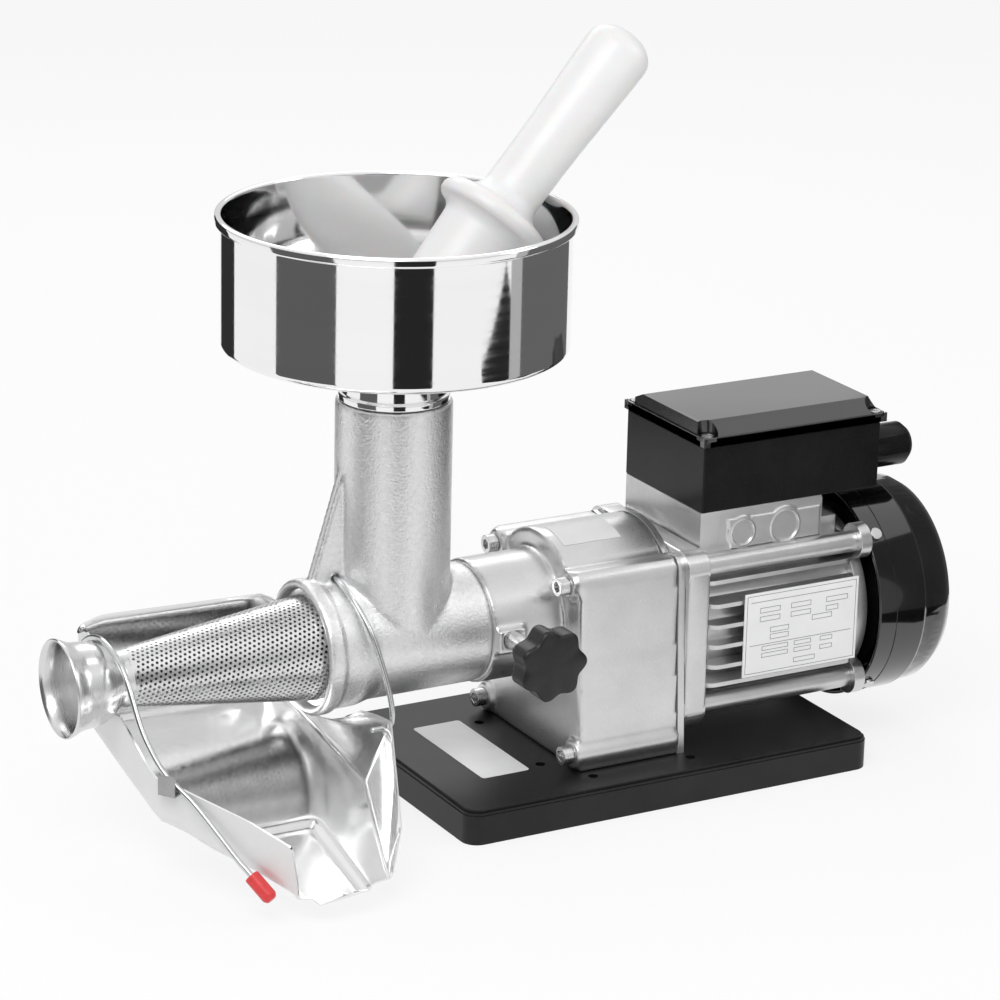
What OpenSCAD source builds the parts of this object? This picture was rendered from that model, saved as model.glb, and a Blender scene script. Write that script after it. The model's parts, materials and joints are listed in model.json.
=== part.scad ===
// Electric tomato press: a worm in a cast press head pushes tomatoes through a conical
// strainer, driven by a single-phase motor through a two-stage gearbox on a flat base.
// Millimetres, +Z up. X runs from the strainer (-X) to the motor (+X), and the origin is the
// middle of the base's underside, on the surface that the press stands on.

/* [Base] */
// Length of the base plate
base_l = 253; // [245:1:275]
// Width of the base plate
base_w = 156; // [150:1:180]
// Thickness of the base plate
base_t = 19; // [16:1:24]
// Thickness of the rubber pads let into the underside of the base
pad_t = 3; // [2:0.5:5]

/* [Drive] */
// Height of the motor shaft above the base plate
motor_h = 60; // [60:1:64]
// Teeth on the motor pinion and on the layshaft pinion
pinion_teeth = 12; // [12]
// Teeth on the layshaft gear
lay_teeth = 48; // [44:1:48]
// Teeth on the output gear
output_teeth = 34; // [32:1:34]
// Diameter of the output shaft
output_d = 20; // [18:1:22]
// Outer diameter of the output bearings
bearing_d = 42; // [40:1:46]

/* [Press head] */
// Outer diameter of the press tube
tube_d = 65; // [63:1:66]
// Bore of the press tube
tube_bore = 53.6; // [50:0.2:54.4]
// Distance from the gearbox sleeve to the feed neck's axis
neck_reach = 44.4; // [43:0.2:46]
// Outer diameter of the feed neck
neck_d = 61.8; // [60:0.2:64]
// Height of the feed neck above the worm's axis
neck_h = 131; // [110:1:150]
// Pitch of the worm
worm_pitch = 34; // [28:1:40]

/* [Strainer] */
// Radius of the strainer cone at its small end
cone_small_r = 15.3; // [14:0.1:16]
// Radius of the strainer cone at its large end
cone_big_r = 28.3; // [27:0.1:29]
// Length of the strainer cone
cone_l = 105; // [100:1:106]
// Radius of the outlet cup's rim
cup_rim_r = 26.1; // [24:0.1:28]

/* [Hopper] */
// Radius of the hopper over its rolled rim
rim_r = 93.8; // [85:0.1:110]
// Depth of the hopper from its rim to its lower corner
hopper_h = 71.5; // [60:0.5:90]
// Sheet thickness of the hopper
hopper_t = 1.2; // [0.8:0.1:1.6]
// Lean of the pestle from upright, in degrees
pestle_lean = 46; // [40:1:48]
// Length of the pestle's handle
handle_l = 128; // [100:1:150]

/* [Motor] */
// Radius of the fan cover
fan_cover_r = 61.5; // [60.5:0.5:66]
// Length of the finned housing
housing_l = 98; // [94:1:104]
// Distance between cooling fins
fin_pitch = 11.5; // [10:0.5:13]
// Height of the terminal box without its lid
box_h = 37; // [32:1:44]
// Radius of the motor shaft
motor_shaft_r = 7; // [6.5:0.5:7.5]

/* [Clamp] */
// Diameter of the star knob
knob_d = 40; // [34:1:46]
// Lobes on the star knob
knob_lobes = 7; // [5:1:9]

/* [Hidden] */
$fn = 72;

deck = base_t;

// Gears: modules, pressure angle, and the heights of the three shafts
fast_m = 1;
slow_m = 2;
pressure = 20;
fast_gap = 0.15;
slow_gap = 0.2;
gear_add = 0.78;
motor_z = deck + motor_h;
lay_z = motor_z - fast_m * (pinion_teeth + lay_teeth) / 2;
worm_z = lay_z + slow_m * (pinion_teeth + output_teeth) / 2;

// Stations along X
gearbox_x0 = -46;
gearbox_x1 = 15;
wall = 6;
gasket_t = 0.5;
cover_t = 4;
cover_x = gearbox_x1 + gasket_t;
shield_x = cover_x + cover_t;
motor_x = 33;
motor_x1 = motor_x + housing_l;
rear_shield_l = 13;
fan_x = motor_x1 + 9;
fan_x1 = fan_x + 53.6;
sleeve_x = -89;
sleeve_r = 33.9;
socket_r = 30;
socket_x = -66;
bearing_t = 12;
bearing_1 = -51;
bearing_2 = -37;
output_gear_x = -24;
output_gear_t = 14;
fast_x = -4;
fast_t = 10;
slow_x = -26;
slow_t = 18;
pinion_bore_r = 4;

// Gearbox outline, from the base up
foot_half = 54;
waist_half = 50;
waist_h = 63;
crown_r = 45;
upper_screw = [39, 102];
lower_screw = [48, 9];
casting_screws = [for (s = [-1, 1], p = [upper_screw, lower_screw]) [s * p[0], p[1]]];
inner_wall = 4;

// Press head
neck_x = sleeve_x - neck_reach;
tube_r = tube_d / 2;
bore_r = tube_bore / 2;
flange_x = neck_x - 53.6;
flange_r = tube_r + 4;
ring_seat_r = cone_big_r + 3.5;
ring_seat_x = flange_x + 8;
neck_top = worm_z + neck_h;
neck_bore_r = neck_d / 2 - 3.3;
bore_end = sleeve_x - 5;
tail_x = socket_x - 0.5;
worm_shaft_r = 8;
seal_r = 13;

// Strainer: its surface is a straight cone from big_x down to small_x
big_x = flange_x + 4;
small_x = big_x - cone_l;
sheet_t = 0.8;
function strainer_r(x) =
    cone_small_r + (cone_big_r - cone_small_r) * (x - small_x) / cone_l;

// Hopper
hopper_bottom = neck_top + 27;
rim_z = hopper_bottom + hopper_h;
wall_r = rim_r - 2.8;
spigot_r = neck_bore_r - 0.1;
spigot_end = neck_top - 22;

// Terminal box
pad_x1 = motor_x1 - 19;
box_x0 = motor_x + 1;
box_x1 = motor_x + 115;
box_y = 40;
box_z = motor_z + 70.5;
box_wall = 2.5;
lid_z = box_z + box_h;
lid_t = 12.3;
pad_y = 39;
pad_step = 16;

// Clamp
clamp_x = sleeve_x + 9;
stud_r = 5;
stud_in = tube_r - 2.4;
boss_y = 38;
knob_y = 62;
knob_t = 22;
lobe_depth = 3.2;

// Tray, in lengths from the worm's axis. The floor is one plane that slopes down to the front.
tray_t = 1;
tray_slope = 0.256;
function tray_floor(y) = -43 + tray_slope * (y - 11);
tray_left = -295;
tray_back = 46;
cup_notch_r = 17.5;
flange_notch_r = 40;
hook_x = -163.5;
hook_z = -32.5;
latch_pivot = [-295, 40, -20];
wire_r = 1.5;
spout_left = [-249, -126];

// Points on an arc about a centre, from one angle to another
function arc(c, r, a0, a1, n) =
    [for (i = [0:n]) let (a = a0 + (a1 - a0) * i / n) [c[0] + r * cos(a), c[1] + r * sin(a)]];
function flip(p) = [for (i = [len(p) - 1:-1:0]) p[i]];
function unit(v) = v / norm(v);
function mirrored(p) = concat(p, [for (q = flip(p)) [-q[0], q[1]]]);

// Round bar or disc along X
module x_bar(x0, x1, r, y = 0, z = 0) {
    translate([x0, y, z]) rotate([0, 90, 0]) cylinder(h = x1 - x0, r = r);
}

// Ring along X
module x_ring(x0, x1, r_out, r_in, z) {
    difference() {
        x_bar(x0, x1, r_out, 0, z);
        x_bar(x0 - 1, x1 + 1, r_in, 0, z);
    }
}

// Shape turned about an X line at height z, from [x, radius] points
module x_turn(points, z) {
    translate([0, 0, z]) rotate([0, 90, 0])
        rotate_extrude($fn = 96) polygon([for (p = points) [p[1], p[0]]]);
}

// Outline in the Y-Z plane, drawn from the base up, extruded along X
module x_plate(x0, x1, points) {
    translate([x0, 0, deck]) rotate([90, 0, 90]) linear_extrude(x1 - x0) polygon(points);
}

// Flat or bent sheet between two matching edges, thickened along a vector
module ruled(lower, upper, shift) {
    n = len(lower);
    all = concat(lower, upper, [for (p = lower) p + shift], [for (p = upper) p + shift]);
    face = [for (i = [0:n - 2]) each [[i, i + 1, n + i + 1], [i, n + i + 1, n + i]]];
    back = [for (f = face) [f[2] + 2 * n, f[1] + 2 * n, f[0] + 2 * n]];
    low = [for (i = [0:n - 2]) each [[i, 2 * n + i, 2 * n + i + 1], [i, 2 * n + i + 1, i + 1]]];
    high = [for (i = [0:n - 2]) each
        [[n + i, n + i + 1, 3 * n + i + 1], [n + i, 3 * n + i + 1, 3 * n + i]]];
    ends = [
        [0, n, 3 * n], [0, 3 * n, 2 * n],
        [n - 1, 3 * n - 1, 4 * n - 1], [n - 1, 4 * n - 1, 2 * n - 1]
    ];
    polyhedron(all, [for (f = concat(face, back, low, high, ends)) flip(f)]);
}

// Smooth line through hand-placed points
function between(a, b, c, d, t) =
    0.5 * (2 * b + (c - a) * t + (2 * a - 5 * b + 4 * c - d) * t * t
        + (3 * b - a - 3 * c + d) * t * t * t);
function smooth(p, k) = let (n = len(p)) concat(
    [for (i = [0:n - 2], j = [0:k - 1])
        between(p[max(i - 1, 0)], p[i], p[i + 1], p[min(i + 2, n - 1)], j / k)],
    [p[n - 1]]);

// Round wire swept along a path, with its ring turned by parallel transport
module wire(path, r, start_normal) {
    n = len(path);
    sides = 10;
    tangents = [for (i = [0:n - 1]) unit(path[min(i + 1, n - 1)] - path[max(i - 1, 0)])];
    normals = [for (i = 0, v = start_normal; i < n;
        i = i + 1, v = i < n ? unit(v - tangents[i] * (v * tangents[i])) : v)
        unit(v - tangents[i] * (v * tangents[i]))];
    rings = [for (i = [0:n - 1], k = [0:sides - 1])
        let (a = 360 * k / sides, w = cross(tangents[i], normals[i]))
        path[i] + r * (cos(a) * normals[i] + sin(a) * w)];
    sidesets = [for (i = [0:n - 2], k = [0:sides - 1])
        let (a = i * sides + k, b = i * sides + (k + 1) % sides)
        [b, a, a + sides, b + sides]];
    polyhedron(rings, concat(
        [[for (k = [0:sides - 1]) k]], sidesets,
        [[for (k = [sides - 1:-1:0]) (n - 1) * sides + k]]));
}

// Involute gear outline. add and gap are the tooth's height past the pitch line and its thinning.
function involute(a) = tan(a) * 180 / PI - a;
function tooth_half(m, n, gap, r) =
    90 / n - gap / (m * n) * 180 / PI + involute(pressure)
        - involute(acos(min(1, m * n / 2 * cos(pressure) / r)));
function gear_outline(m, n, add, gap) =
    let (
        pitch_r = m * n / 2,
        root = pitch_r - 1.25 * m,
        first = max(pitch_r * cos(pressure), root + 0.05 * m),
        tip = pitch_r + add * m,
        flank = [for (i = [0:4]) first + (tip - first) * i / 4],
        rise = [for (r = flank) [r, -tooth_half(m, n, gap, r)]],
        tooth = concat([[root, rise[0][1]]], rise, [for (p = flip(rise)) [p[0], -p[1]]],
            [[root, -rise[0][1]]]))
    [for (k = [0:n - 1], p = tooth)
        let (a = 360 * k / n + p[1]) [p[0] * cos(a), p[0] * sin(a)]];

// Gear along X at height z, with its first tooth turned from +Y by an angle
module x_gear(x0, t, z, m, n, add, gap, bore, turn) {
    translate([x0, 0, z]) rotate([90, 0, 90]) rotate(turn)
        difference() {
            linear_extrude(t) polygon(gear_outline(m, n, add, gap));
            translate([0, 0, -1]) cylinder(h = t + 2, r = bore);
        }
}

// Socket screw along X, head towards -X
module x_cap_screw(x, y, z, r, l) {
    x_bar(x, x + l, r, y, z);
    difference() {
        x_bar(x - 2 * r, x, 1.7 * r, y, z);
        translate([x - 2 * r - 1, y, z]) rotate([0, 90, 0]) cylinder(h = r + 1, r = r, $fn = 6);
    }
}

// Rounded rectangle centred on the origin
module rounded(l, w, r) {
    polygon(concat(
        arc([l / 2 - r, w / 2 - r], r, 0, 90, 8), arc([r - l / 2, w / 2 - r], r, 90, 180, 8),
        arc([r - l / 2, r - w / 2], r, 180, 270, 8), arc([l / 2 - r, r - w / 2], r, 270, 360, 8)));
}

spare_holes = [for (s = [-1, 1], p = [[-59, 34], [-42, 61], [19.4, 61]]) [p[0], s * p[1]]];
base_screw_places = [for (s = [-1, 1], x = [-30, 4]) [x, s * 44]];
pad_r = 10;
pad_places = [for (a = [-1, 1], b = [-1, 1]) [a * (base_l / 2 - 22), b * (base_w / 2 - 22)]];

module base_plate() {
    color("#1c1c1e") difference() {
        union() {
            linear_extrude(base_t - 3) rounded(base_l, base_w, 9);
            translate([0, 0, deck - 3]) linear_extrude(1.5) rounded(base_l - 1.2, base_w - 1.2, 8.4);
            translate([0, 0, deck - 1.5]) linear_extrude(1.5) rounded(base_l - 4, base_w - 4, 7.5);
        }
        for (p = spare_holes) translate([p[0], p[1], -1]) cylinder(h = base_t + 2, r = 2.75);
        for (p = pad_places) translate([p[0], p[1], -1]) cylinder(h = pad_t + 1, r = pad_r);
        for (p = base_screw_places) translate([p[0], p[1], -1]) {
            cylinder(h = base_t + 2, r = 3.2);
            cylinder(h = 8, r = 6);
        }
    }
}

module rubber_pads() {
    color("#151515") for (p = pad_places) translate([p[0], p[1], 0]) cylinder(h = pad_t, r = pad_r);
}

module base_data_plate() {
    color("gainsboro") translate([44 - base_l / 2, 1.4, deck]) linear_extrude(0.3) rounded(29, 80, 2);
}

module base_screws() {
    color("silver") for (p = base_screw_places) translate([p[0], p[1], 0]) {
        translate([0, 0, 1]) cylinder(h = 6, r = 5);
        translate([0, 0, 7]) cylinder(h = base_t - 1.5, r = 3);
    }
}

gearbox_outline = mirrored(concat(
    [[foot_half, 0], [waist_half + 0.5, waist_h - 6], [waist_half, waist_h]],
    arc(upper_screw, 9.5, 5, 62, 5),
    arc([0, worm_z - deck], crown_r, 46, 89, 7)));
cavity_outline = mirrored(concat(
    [[foot_half - inner_wall - 0.4, inner_wall], [waist_half - inner_wall, waist_h]],
    arc([0, worm_z - deck], crown_r - inner_wall, 14, 89, 10)));

module gearbox_housing() {
    color("#b9bcbe") difference() {
        union() {
            difference() {
                x_plate(gearbox_x0, gearbox_x1, gearbox_outline);
                x_plate(gearbox_x0 + wall, gearbox_x1 + 1, cavity_outline);
            }
            for (p = casting_screws) x_bar(gearbox_x0 - 3, gearbox_x1, 8, p[0], deck + p[1]);
            for (p = base_screw_places)
                translate([p[0], p[1], deck]) cylinder(h = 12, r = 6.5);
            x_bar(sleeve_x, bearing_2 + bearing_t, sleeve_r - 8, 0, worm_z);
            x_bar(sleeve_x, gearbox_x0 + 1, sleeve_r, 0, worm_z);
            x_bar(gearbox_x0 + 1, -32, 12, 0, lay_z);
            translate([clamp_x - 8, -boss_y, worm_z - 7.5]) cube([16.5, boss_y - 24, 13]);
        }
        x_bar(sleeve_x - 1, -58, socket_r, 0, worm_z);
        x_bar(-59, bearing_2 + bearing_t + 1, bearing_d / 2, 0, worm_z);
        x_bar(-41, -31, 9, 0, lay_z);
        for (p = casting_screws) {
            x_bar(gearbox_x0 - 4, gearbox_x1 + 1, 3, p[0], deck + p[1]);
        }
        for (p = base_screw_places) translate([p[0], p[1], deck - 1]) cylinder(h = 6.5, r = 3);
        translate([clamp_x, -boss_y - 1, worm_z]) rotate([-90, 0, 0]) cylinder(h = 12, r = stud_r);
    }
}

module gearbox_gasket() {
    color("#3a3a38") difference() {
        x_plate(gearbox_x1, cover_x, gearbox_outline);
        x_plate(gearbox_x1 - 1, cover_x + 1, cavity_outline);
        for (p = casting_screws) x_bar(gearbox_x1 - 1, cover_x + 1, 3, p[0], deck + p[1]);
    }
}

module gearbox_rear_cover() {
    color("#aeb1b3") difference() {
        union() {
            x_plate(cover_x, shield_x, gearbox_outline);
            x_bar(8, shield_x, 13, 0, lay_z);
            x_bar(8.5, shield_x, 13.5, 0, motor_z);
        }
        x_bar(7, shield_x + 1, 11.5, 0, motor_z);
        x_bar(7, 15.5, 9, 0, lay_z);
        for (p = casting_screws) x_bar(cover_x - 1, shield_x + 1, 3, p[0], deck + p[1]);
    }
}

module housing_screws() {
    color("#8d8f91") for (p = casting_screws)
        x_cap_screw(gearbox_x0 - 3, p[0], deck + p[1], 3, shield_x - gearbox_x0 + 3);
}

module output_bearings() {
    color("silver") for (x = [bearing_1, bearing_2])
        x_ring(x, x + bearing_t, bearing_d / 2, output_d / 2, worm_z);
}

module output_oil_seal() {
    color("#2b2b2b") x_ring(-58, bearing_1, bearing_d / 2, output_d / 2, worm_z);
}

module layshaft_bushes() {
    color("#b08d57") {
        x_ring(-40, -33, 9, 6, lay_z);
        x_ring(8.5, 15.5, 9, 6, lay_z);
    }
}

module motor_oil_seal() {
    color("#2b2b2b") x_ring(9, 15, 11.5, motor_shaft_r, motor_z);
}

// Tie rods from end shield to end shield, in an ear at each corner
tie_places = [for (s = [-1, 1], h = [42, -37.5]) [s * 43, motor_z + h]];
ear_r = 10;
shield_r = 51.5;

module motor_end_shield() {
    color("#b4b7b9") difference() {
        union() {
            x_bar(shield_x, motor_x, shield_r, 0, motor_z);
            for (p = tie_places) x_bar(shield_x, motor_x, ear_r, p[0], p[1]);
        }
        x_bar(shield_x + 2, motor_x + 1, 17.5, 0, motor_z);
        x_bar(shield_x - 1, shield_x + 3, 9, 0, motor_z);
        x_ring(motor_x - 8, motor_x + 1, 41.4, 23, motor_z);
        for (p = tie_places) x_bar(motor_x - 7, motor_x + 1, 2.6, p[0], p[1]);
    }
}

barrel_r = 46;
barrel_bore = 41.4;
fin_t = 2.4;
fin_reach = 55;
fin_corner_r = 57.6;
fin_levels = [for (k = [-2:3]) fin_pitch * k - 2];
under_fins = [for (k = [-2.5:2.5]) fin_pitch * k];
function fin_half(h) = min(fin_reach, sqrt(fin_corner_r * fin_corner_r - h * h));

module motor_housing() {
    color("#b7babc") difference() {
        union() {
            x_bar(motor_x, motor_x1, barrel_r, 0, motor_z);
            for (h = fin_levels)
                translate([motor_x + housing_l / 2, 0, motor_z + h - fin_t / 2])
                    linear_extrude(fin_t) rounded(housing_l, 2 * fin_half(h), 7);
            for (h = under_fins)
                translate([motor_x, h - fin_t / 2, motor_z - fin_half(h) + 6])
                    cube([housing_l, fin_t, fin_half(h) - 6]);
            for (p = tie_places) x_bar(motor_x, motor_x1, 6, p[0], p[1]);
            for (p = tie_places)
                translate([motor_x, p[0] > 0 ? 15 : -43, p[1] - 2]) cube([housing_l, 28, 4]);
            translate([motor_x + 1, -pad_y, motor_z + 30])
                cube([pad_x1 - motor_x - 1, 2 * pad_y, box_z - motor_z - 30]);
            translate([pad_x1, -30, motor_z + 30]) cube([pad_step, 60, 24]);
        }
        x_bar(motor_x - 1, motor_x1 + 1, barrel_bore, 0, motor_z);
        translate([motor_x + 30, 0, motor_z]) cylinder(h = 90, r = 14);
        for (p = tie_places) x_bar(motor_x - 1, motor_x1 + 1, 2.6, p[0], p[1]);
    }
}

module stator_core() {
    color("#6f7478") x_ring(motor_x + 17, motor_x1 - 16, barrel_bore, 24.4, motor_z);
}

module stator_windings() {
    color("#b5651d") {
        x_ring(motor_x + 5, motor_x + 17, 39, 26, motor_z);
        x_ring(motor_x1 - 16, motor_x1 - 5, 39, 26, motor_z);
    }
}

module motor_bearings() {
    color("silver") {
        x_ring(shield_x + 2, shield_x + 13, 17.5, motor_shaft_r, motor_z);
        x_ring(motor_x1 + 1, motor_x1 + 12, 17.5, motor_shaft_r, motor_z);
    }
}

module rear_end_shield() {
    color("#b4b7b9") difference() {
        union() {
            x_bar(motor_x1, motor_x1 + 7, shield_r, 0, motor_z);
            for (p = tie_places) x_bar(motor_x1, motor_x1 + 7, ear_r, p[0], p[1]);
            x_bar(motor_x1 + 6, motor_x1 + rear_shield_l, 24, 0, motor_z);
        }
        x_bar(motor_x1 - 1, motor_x1 + 12, 17.5, 0, motor_z);
        x_bar(motor_x1 + 11, motor_x1 + 14, 9, 0, motor_z);
        for (p = tie_places) x_bar(motor_x1 - 1, motor_x1 + 8, 2.6, p[0], p[1]);
    }
}

module tie_rods() {
    color("#9a9c9e") for (p = tie_places) {
        x_bar(motor_x - 6, motor_x1 + 7, 2.5, p[0], p[1]);
        x_bar(motor_x1 + 7, motor_x1 + 9, 4.4, p[0], p[1]);
    }
}

cover_wall = 1.8;
grille_r = 42;
grille_pitch = 13;
module fan_cover() {
    end = fan_x1;
    r = fan_cover_r;
    color("#141416") difference() {
        x_turn([
            [fan_x, r - cover_wall], [fan_x, r], [end - 23.5, r], [end - 22.5, r - 1.2],
            [end - 9, r - 2.2], [end - 3.5, r - 5.5], [end, r - 12], [end, 0],
            [end - cover_wall, 0], [end - cover_wall, r - 13], [end - 5, r - 7.2],
            [end - 9.6, r - 4], [end - 23.5, r - 3.1], [end - 24.5, r - cover_wall]
        ], motor_z);
        for (k = [-2.5:2.5]) let (y = grille_pitch * k, half = sqrt(grille_r * grille_r - y * y))
            translate([end - 4, y - 2.5, motor_z - half]) cube([6, 5, 2 * half]);
    }
}

fan_screw_turns = [45:90:315];
module fan_cover_screws() {
    color("silver") for (a = fan_screw_turns)
        translate([0, 0, motor_z]) rotate([a, 0, 0])
            translate([fan_x + 6, 0, fan_cover_r]) cylinder(h = 2, r = 3.6);
}

module terminal_box() {
    color("#17171a") difference() {
        translate([box_x0, -box_y, box_z]) cube([box_x1 - box_x0, 2 * box_y, box_h]);
        translate([box_x0 + box_wall, box_wall - box_y, box_z + box_wall])
            cube([box_x1 - box_x0 - 2 * box_wall, 2 * (box_y - box_wall), box_h]);
        translate([motor_x + 30, 0, box_z - 1]) cylinder(h = 6, r = 14);
        x_bar(box_x1 - 5, box_x1 + 1, 8, gland_y, gland_z);
    }
}

module lid_gasket() {
    color("#2f2f2f") translate([0, 0, lid_z]) difference() {
        translate([box_x0, -box_y, 0]) cube([box_x1 - box_x0, 2 * box_y, 0.5]);
        translate([box_x0 + 3, 3 - box_y, -1]) cube([box_x1 - box_x0 - 6, 2 * box_y - 6, 3]);
    }
}

// Lid: a skirt round the box's edge and a raised top with bevelled sides
lid_x0 = box_x0 - 1.3;
lid_x1 = box_x1 + 3;
lid_y = box_y + 1.5;
lid_bottom = lid_z + 0.5;
lid_inset = 5;
lid_screw_places = [for (x = [lid_x0 + lid_inset, lid_x1 - lid_inset], s = [-1, 1])
    [x, s * (lid_y - lid_inset)]];
module terminal_box_lid() {
    h = lid_t - 5;
    front = 9.5 - lid_y;
    rear = lid_y - 17;
    top = [[lid_x0 + 1.2, front], [lid_x1 - 6, front], [lid_x1 - 6, rear], [lid_x0 + 1.2, rear]];
    foot = [
        [lid_x0 + 1, -lid_y + 1], [lid_x1 - 1, -lid_y + 1],
        [lid_x1 - 1, lid_y - 1], [lid_x0 + 1, lid_y - 1]
    ];
    color("#17171a") difference() {
        union() {
            translate([lid_x0, -lid_y, lid_bottom]) cube([lid_x1 - lid_x0, 2 * lid_y, 5]);
            polyhedron(
                concat([for (p = foot) [p[0], p[1], lid_bottom + 5]],
                    [for (p = top) [p[0], p[1], lid_bottom + 5 + h]]),
                [[0, 1, 2, 3], [7, 6, 5, 4], [0, 4, 5, 1], [1, 5, 6, 2], [2, 6, 7, 3], [3, 7, 4, 0]]);
        }
        translate([box_x0 + 3, 3 - box_y, lid_bottom - 1])
            cube([box_x1 - box_x0 - 6, 2 * box_y - 6, 2.5]);
        for (p = lid_screw_places) translate([p[0], p[1], lid_bottom + 3]) cylinder(h = 20, r = 5.7);
    }
}

module lid_screws() {
    color("silver") for (p = lid_screw_places)
        translate([p[0], p[1], lid_bottom + 3]) difference() {
            cylinder(h = 2.4, r = 3.4);
            translate([-2.4, -0.5, 1.4]) cube([4.8, 1, 2]);
        }
}

module capacitor() {
    color("#cfd2d6") x_bar(box_x0 + 36, box_x0 + 100, 14, 20, box_z + box_wall + 14.2);
}

module terminal_block() {
    color("ivory") translate([box_x0 + 56, -28, box_z + box_wall]) difference() {
        cube([44, 20, 14]);
        for (k = [0:3]) translate([6 + 10.6 * k, 10, 6]) cylinder(h = 9, r = 2);
    }
}

gland_y = -8;
gland_z = box_z + 11.5;
gland_r = 12.2;
module cable_gland() {
    color("#141416") difference() {
        union() {
            x_bar(box_x1 - box_wall - 2, box_x1, 7.9, gland_y, gland_z);
            x_bar(box_x1 - box_wall - 6, box_x1 - box_wall, 8.9, gland_y, gland_z);
            translate([box_x1, gland_y, gland_z]) rotate([0, 90, 0]) cylinder(h = 6, r = 13, $fn = 6);
            x_bar(box_x1 + 5, box_x1 + 35, gland_r, gland_y, gland_z);
            translate([box_x1 + 35, gland_y, gland_z]) rotate([0, 90, 0])
                cylinder(h = 3.6, r1 = gland_r, r2 = gland_r - 3);
        }
        x_bar(box_x1 - 20, box_x1 + 42, 4.5, gland_y, gland_z);
    }
}

module motor_nameplate() {
    color("gainsboro") translate([motor_x + 21, -fin_reach - 0.8, motor_z - 22])
        cube([74, 0.8, 48]);
}

module motor_shaft() {
    color("silver") x_turn([
        [fast_x - 0.8, 0], [fast_x - 0.8, pinion_bore_r], [fast_x + fast_t + 0.5, pinion_bore_r],
        [fast_x + fast_t + 0.5, motor_shaft_r], [motor_x1 + 34, motor_shaft_r], [motor_x1 + 34, 0]
    ], motor_z);
}

module rotor_core() {
    color("#7c8084") x_ring(motor_x + 17, motor_x1 - 16, 24, motor_shaft_r, motor_z);
}

module motor_pinion() {
    color("#8a8d90")
        x_gear(fast_x, fast_t, motor_z, fast_m, pinion_teeth, 1, fast_gap,
            pinion_bore_r, 90 + 180 / pinion_teeth);
}

module cooling_fan() {
    hub_x = motor_x1 + 15;
    color("#2c2c2e") difference() {
        union() {
            x_bar(hub_x, hub_x + 20, 12, 0, motor_z);
            x_bar(hub_x, hub_x + 2, 50, 0, motor_z);
            for (a = [0:45:315])
                translate([0, 0, motor_z]) rotate([a, 0, 0])
                    translate([hub_x + 1, -1, 8]) cube([15, 2, 42]);
        }
        x_bar(hub_x - 1, hub_x + 30, motor_shaft_r, 0, motor_z);
    }
}

module layshaft() {
    color("silver") x_bar(-39.5, 15, 6, 0, lay_z);
}

module lay_gear() {
    color("#8a8d90")
        x_gear(fast_x, fast_t, lay_z, fast_m, lay_teeth, gear_add, fast_gap, 6, 90);
}

module lay_pinion() {
    color("#8a8d90")
        x_gear(slow_x, slow_t, lay_z, slow_m, pinion_teeth, 1, slow_gap, 6, 90 + 180 / pinion_teeth);
}

module output_shaft() {
    color("silver") difference() {
        x_bar(-64, output_gear_x + output_gear_t + 2, output_d / 2, 0, worm_z);
        translate([-65, 0, worm_z]) rotate([0, 90, 0]) cylinder(h = 17, r = 6.4, $fn = 6);
    }
}

module output_gear() {
    color("#8a8d90") x_gear(output_gear_x, output_gear_t, worm_z, slow_m, output_teeth, gear_add,
        slow_gap, output_d / 2, -90);
}

module clamp_stud() {
    color("silver") translate([clamp_x, -knob_y + 6, worm_z]) rotate([-90, 0, 0])
        cylinder(h = knob_y - 6 - stud_in, r = stud_r - 0.05);
}

module clamp_knob() {
    star = [for (k = [0:12 * knob_lobes - 1]) let (a = 30 * k / knob_lobes)
        (knob_d / 2 - lobe_depth * (1 - cos(knob_lobes * a)) / 2) * [cos(a), sin(a)]];
    color("#161618") translate([clamp_x, -knob_y - knob_t + 6, worm_z]) rotate([-90, 0, 0])
        difference() {
            union() {
                translate([0, 0, knob_t - 6]) cylinder(h = 6, r = 10);
                linear_extrude(knob_t - 6) polygon(star);
            }
            translate([0, 0, knob_t - 12]) cylinder(h = 14, r = stud_r);
        }
}

module press_body() {
    color("#c3c6c8") difference() {
        union() {
            x_turn([
                [flange_x + 9, 0], [flange_x + 9, flange_r], [flange_x + 7, flange_r],
                [flange_x + 2, flange_r], [flange_x + 0.6, flange_r - 0.6], [flange_x, flange_r - 2],
                [flange_x, 0]
            ], worm_z);
            x_turn([
                [flange_x + 8, 0], [flange_x + 8, tube_r + 2], [flange_x + 24, tube_r + 2],
                [flange_x + 32, tube_r], [sleeve_x, tube_r], [sleeve_x, socket_r - 0.1],
                [tail_x, socket_r - 0.1], [tail_x, 0]
            ], worm_z);
            translate([neck_x, 0, worm_z]) cylinder(h = neck_h, r = neck_d / 2);
            translate([0, 3.5, worm_z]) rotate([90, 0, 0]) linear_extrude(7) polygon([
                [neck_x, 95], [neck_x - neck_d / 2 - 0.5, 95], [neck_x - 34.6, 85],
                [flange_x + 5, 39], [flange_x + 5, 30], [neck_x, 30]
            ]);
        }
        x_bar(ring_seat_x, bore_end, bore_r, 0, worm_z);
        x_bar(flange_x - 1, ring_seat_x, ring_seat_r, 0, worm_z);
        translate([neck_x, 0, worm_z]) cylinder(h = neck_h + 1, r = neck_bore_r);
        x_bar(bore_end - 1, tail_x + 1, worm_shaft_r + 0.2, 0, worm_z);
        x_bar(tail_x - 9, tail_x + 1, seal_r, 0, worm_z);
        translate([-168, -10, worm_z + 36.7]) rotate([-90, 0, 0]) cylinder(h = 20, r = 2.2);
    }
}

module body_seal() {
    color("#7a1f1f") x_ring(tail_x - 9, tail_x, seal_r, worm_shaft_r + 0.05, worm_z);
}

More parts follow.
